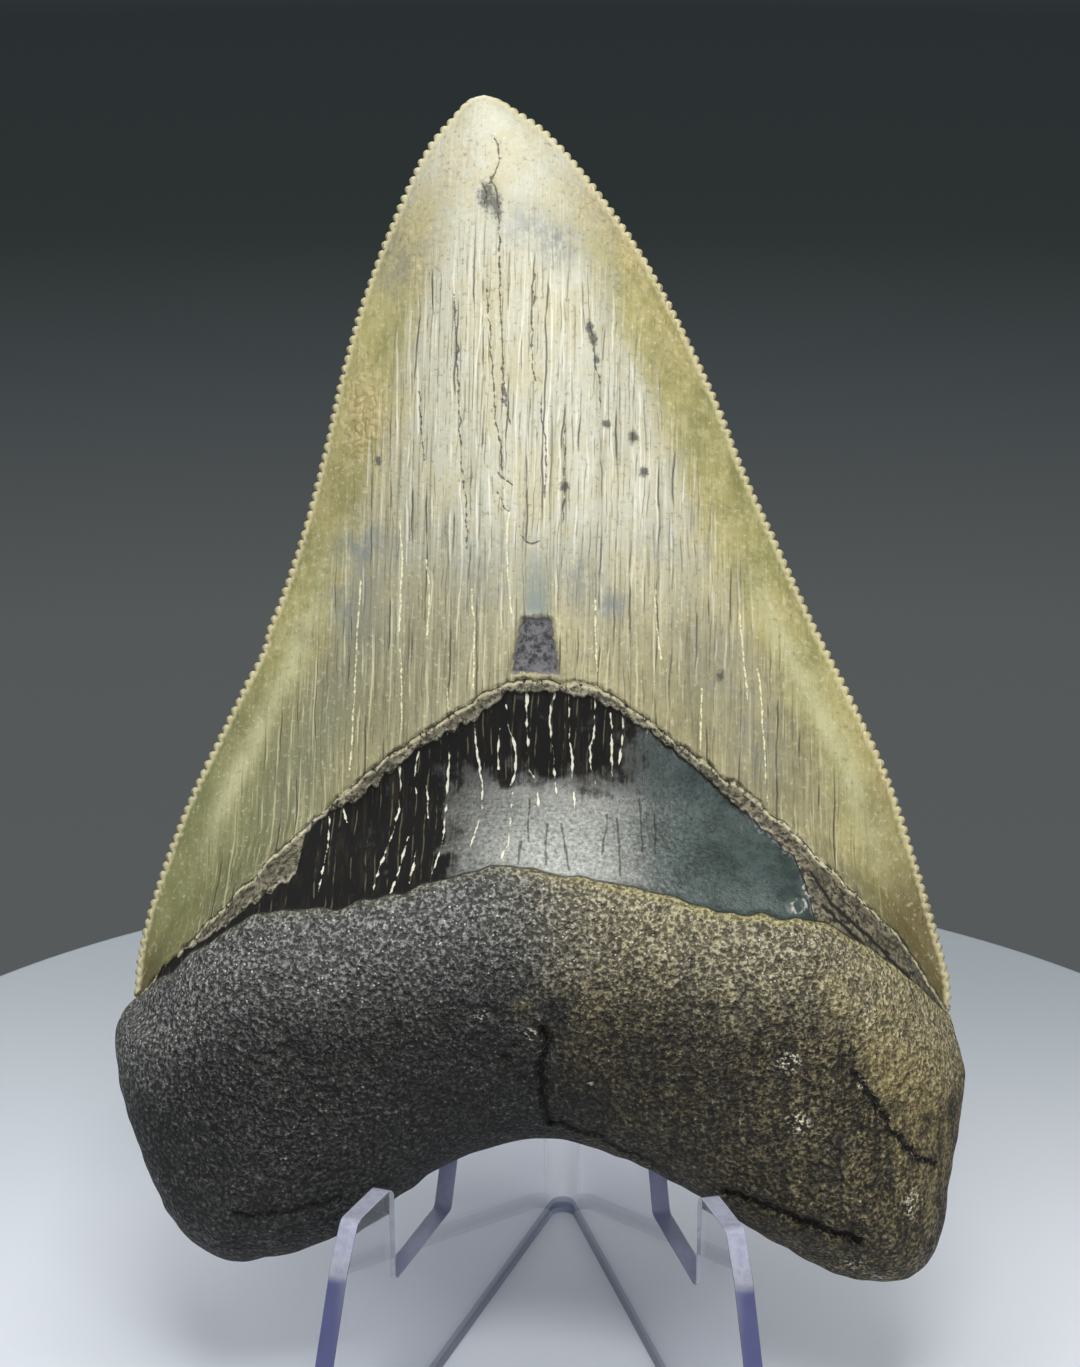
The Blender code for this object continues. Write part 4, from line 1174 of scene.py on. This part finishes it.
def build_floor():
    """Pale satin floor with a round far edge, painted darker towards the back where the light falls
    off and lighter round the middle where the tooth's shadow falls.
    """
    material = bpy.data.materials.new("pale satin floor")
    g = Graph(material)
    there = g.add("TexCoord", out=3)
    mottle = g.add("TexNoise", there, 14.0, 2.0)
    # Painted light falling off: darker towards the back.
    away = g.add("MapRange", g.add("SeparateXYZ", there, out=1), -0.02, 0.09, **SOFT)
    tone = g.add("Mix", away, "#d6dae1", "#9ea6ab", **RGBA)
    # Painted light: lighter round the middle, where the tooth's shadow falls.
    near = g.add("VectorMath", there, operation="LENGTH")
    near = g.add("MapRange", near, 0.060, 0.030, **SOFT)
    tone = g.add("Mix", near, tone, "#e6eaf3", **RGBA)
    rough = g.add("MapRange", mottle, 0.3, 0.7, 0.40, 0.48)
    g.end("Principled BSDF", Base_Color=tone, Roughness=rough)
    bpy.ops.mesh.primitive_cylinder_add(
        vertices=256, radius=FLOOR_RADIUS, depth=FLOOR_THICK,
        location=(FOLD_X + FLOOR_MIDDLE[0], FOLD_Y + FLOOR_MIDDLE[1],
                  -0.5 * FLOOR_THICK - FLOOR_GAP))
    floor = bpy.context.object
    floor.name = "floor"
    floor.data.materials.append(material)
    bevel = floor.modifiers.new("round edge", "BEVEL")
    bevel.width = MM
    bevel.segments = 4
    floor.data.shade_smooth()
    floor.data.set_sharp_from_angle(angle=math.radians(40.0))
    floor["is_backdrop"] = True


def build_world():
    """Dark studio, a little lighter low down, with a soft pale ceiling."""
    world = bpy.data.worlds.new("dark studio")
    g = Graph(world)
    rise = g.add("MapRange", g.add("SeparateXYZ", g.add("TexCoord"), out=2), -1.0, 1.0)
    shade = g.add("ValToRGB", rise)
    ramp = shade.node.color_ramp
    while len(ramp.elements) < len(STUDIO_SHADES):
        ramp.elements.new(1.0)
    for element, (height, code) in zip(ramp.elements, STUDIO_SHADES):
        element.position = height
        element.color = colour(code)
    g.end("Background", Color=shade, Strength=1.0)
    bpy.context.scene.world = world


def build_lights():
    """Soft rectangular lamps of the studio, each aimed at its target."""
    for name, spot, target, size, power, tint in STUDIO_LIGHTS:
        lamp = bpy.data.lights.new(name, "AREA")
        lamp.shape = "RECTANGLE"
        lamp.size, lamp.size_y = size
        lamp.energy = power
        lamp.color = colour(tint)[:3]
        holder = bpy.data.objects.new(name, lamp)
        holder.location = spot
        aim = Vector(target) - Vector(spot)
        holder.rotation_euler = aim.to_track_quat("-Z", "Y").to_euler()
        bpy.context.scene.collection.objects.link(holder)


def build_camera():
    """Camera at the photo's viewing angle."""
    lens = bpy.data.cameras.new("camera")
    lens.sensor_width = SENSOR
    lens.lens = LENS_PIXELS * SENSOR / IMAGE_HEIGHT
    camera = bpy.data.objects.new("camera", lens)
    camera.location = (FOLD_X + CAMERA_ACROSS * MM, FOLD_Y - CAMERA_AWAY * MM, CAMERA_HEIGHT * MM)
    camera.rotation_euler = (0.5 * math.pi - CAMERA_TILT, 0.0, CAMERA_TURN)
    bpy.context.scene.collection.objects.link(camera)
    bpy.context.scene.camera = camera


tooth = build_tooth()
tooth.data.materials.append(build_tooth_material(tooth))
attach(tooth, "root")
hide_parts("tooth")

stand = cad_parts["stand"]
stand.data.materials.clear()
stand.data.materials.append(build_acrylic(stand))

build_floor()
build_world()
build_lights()
build_camera()
bpy.context.scene.view_settings.view_transform = "Standard"

boxes = {"cad": cad_box, "visual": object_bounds()}
{name: [list(corner) for corner in pair] for name, pair in boxes.items()}
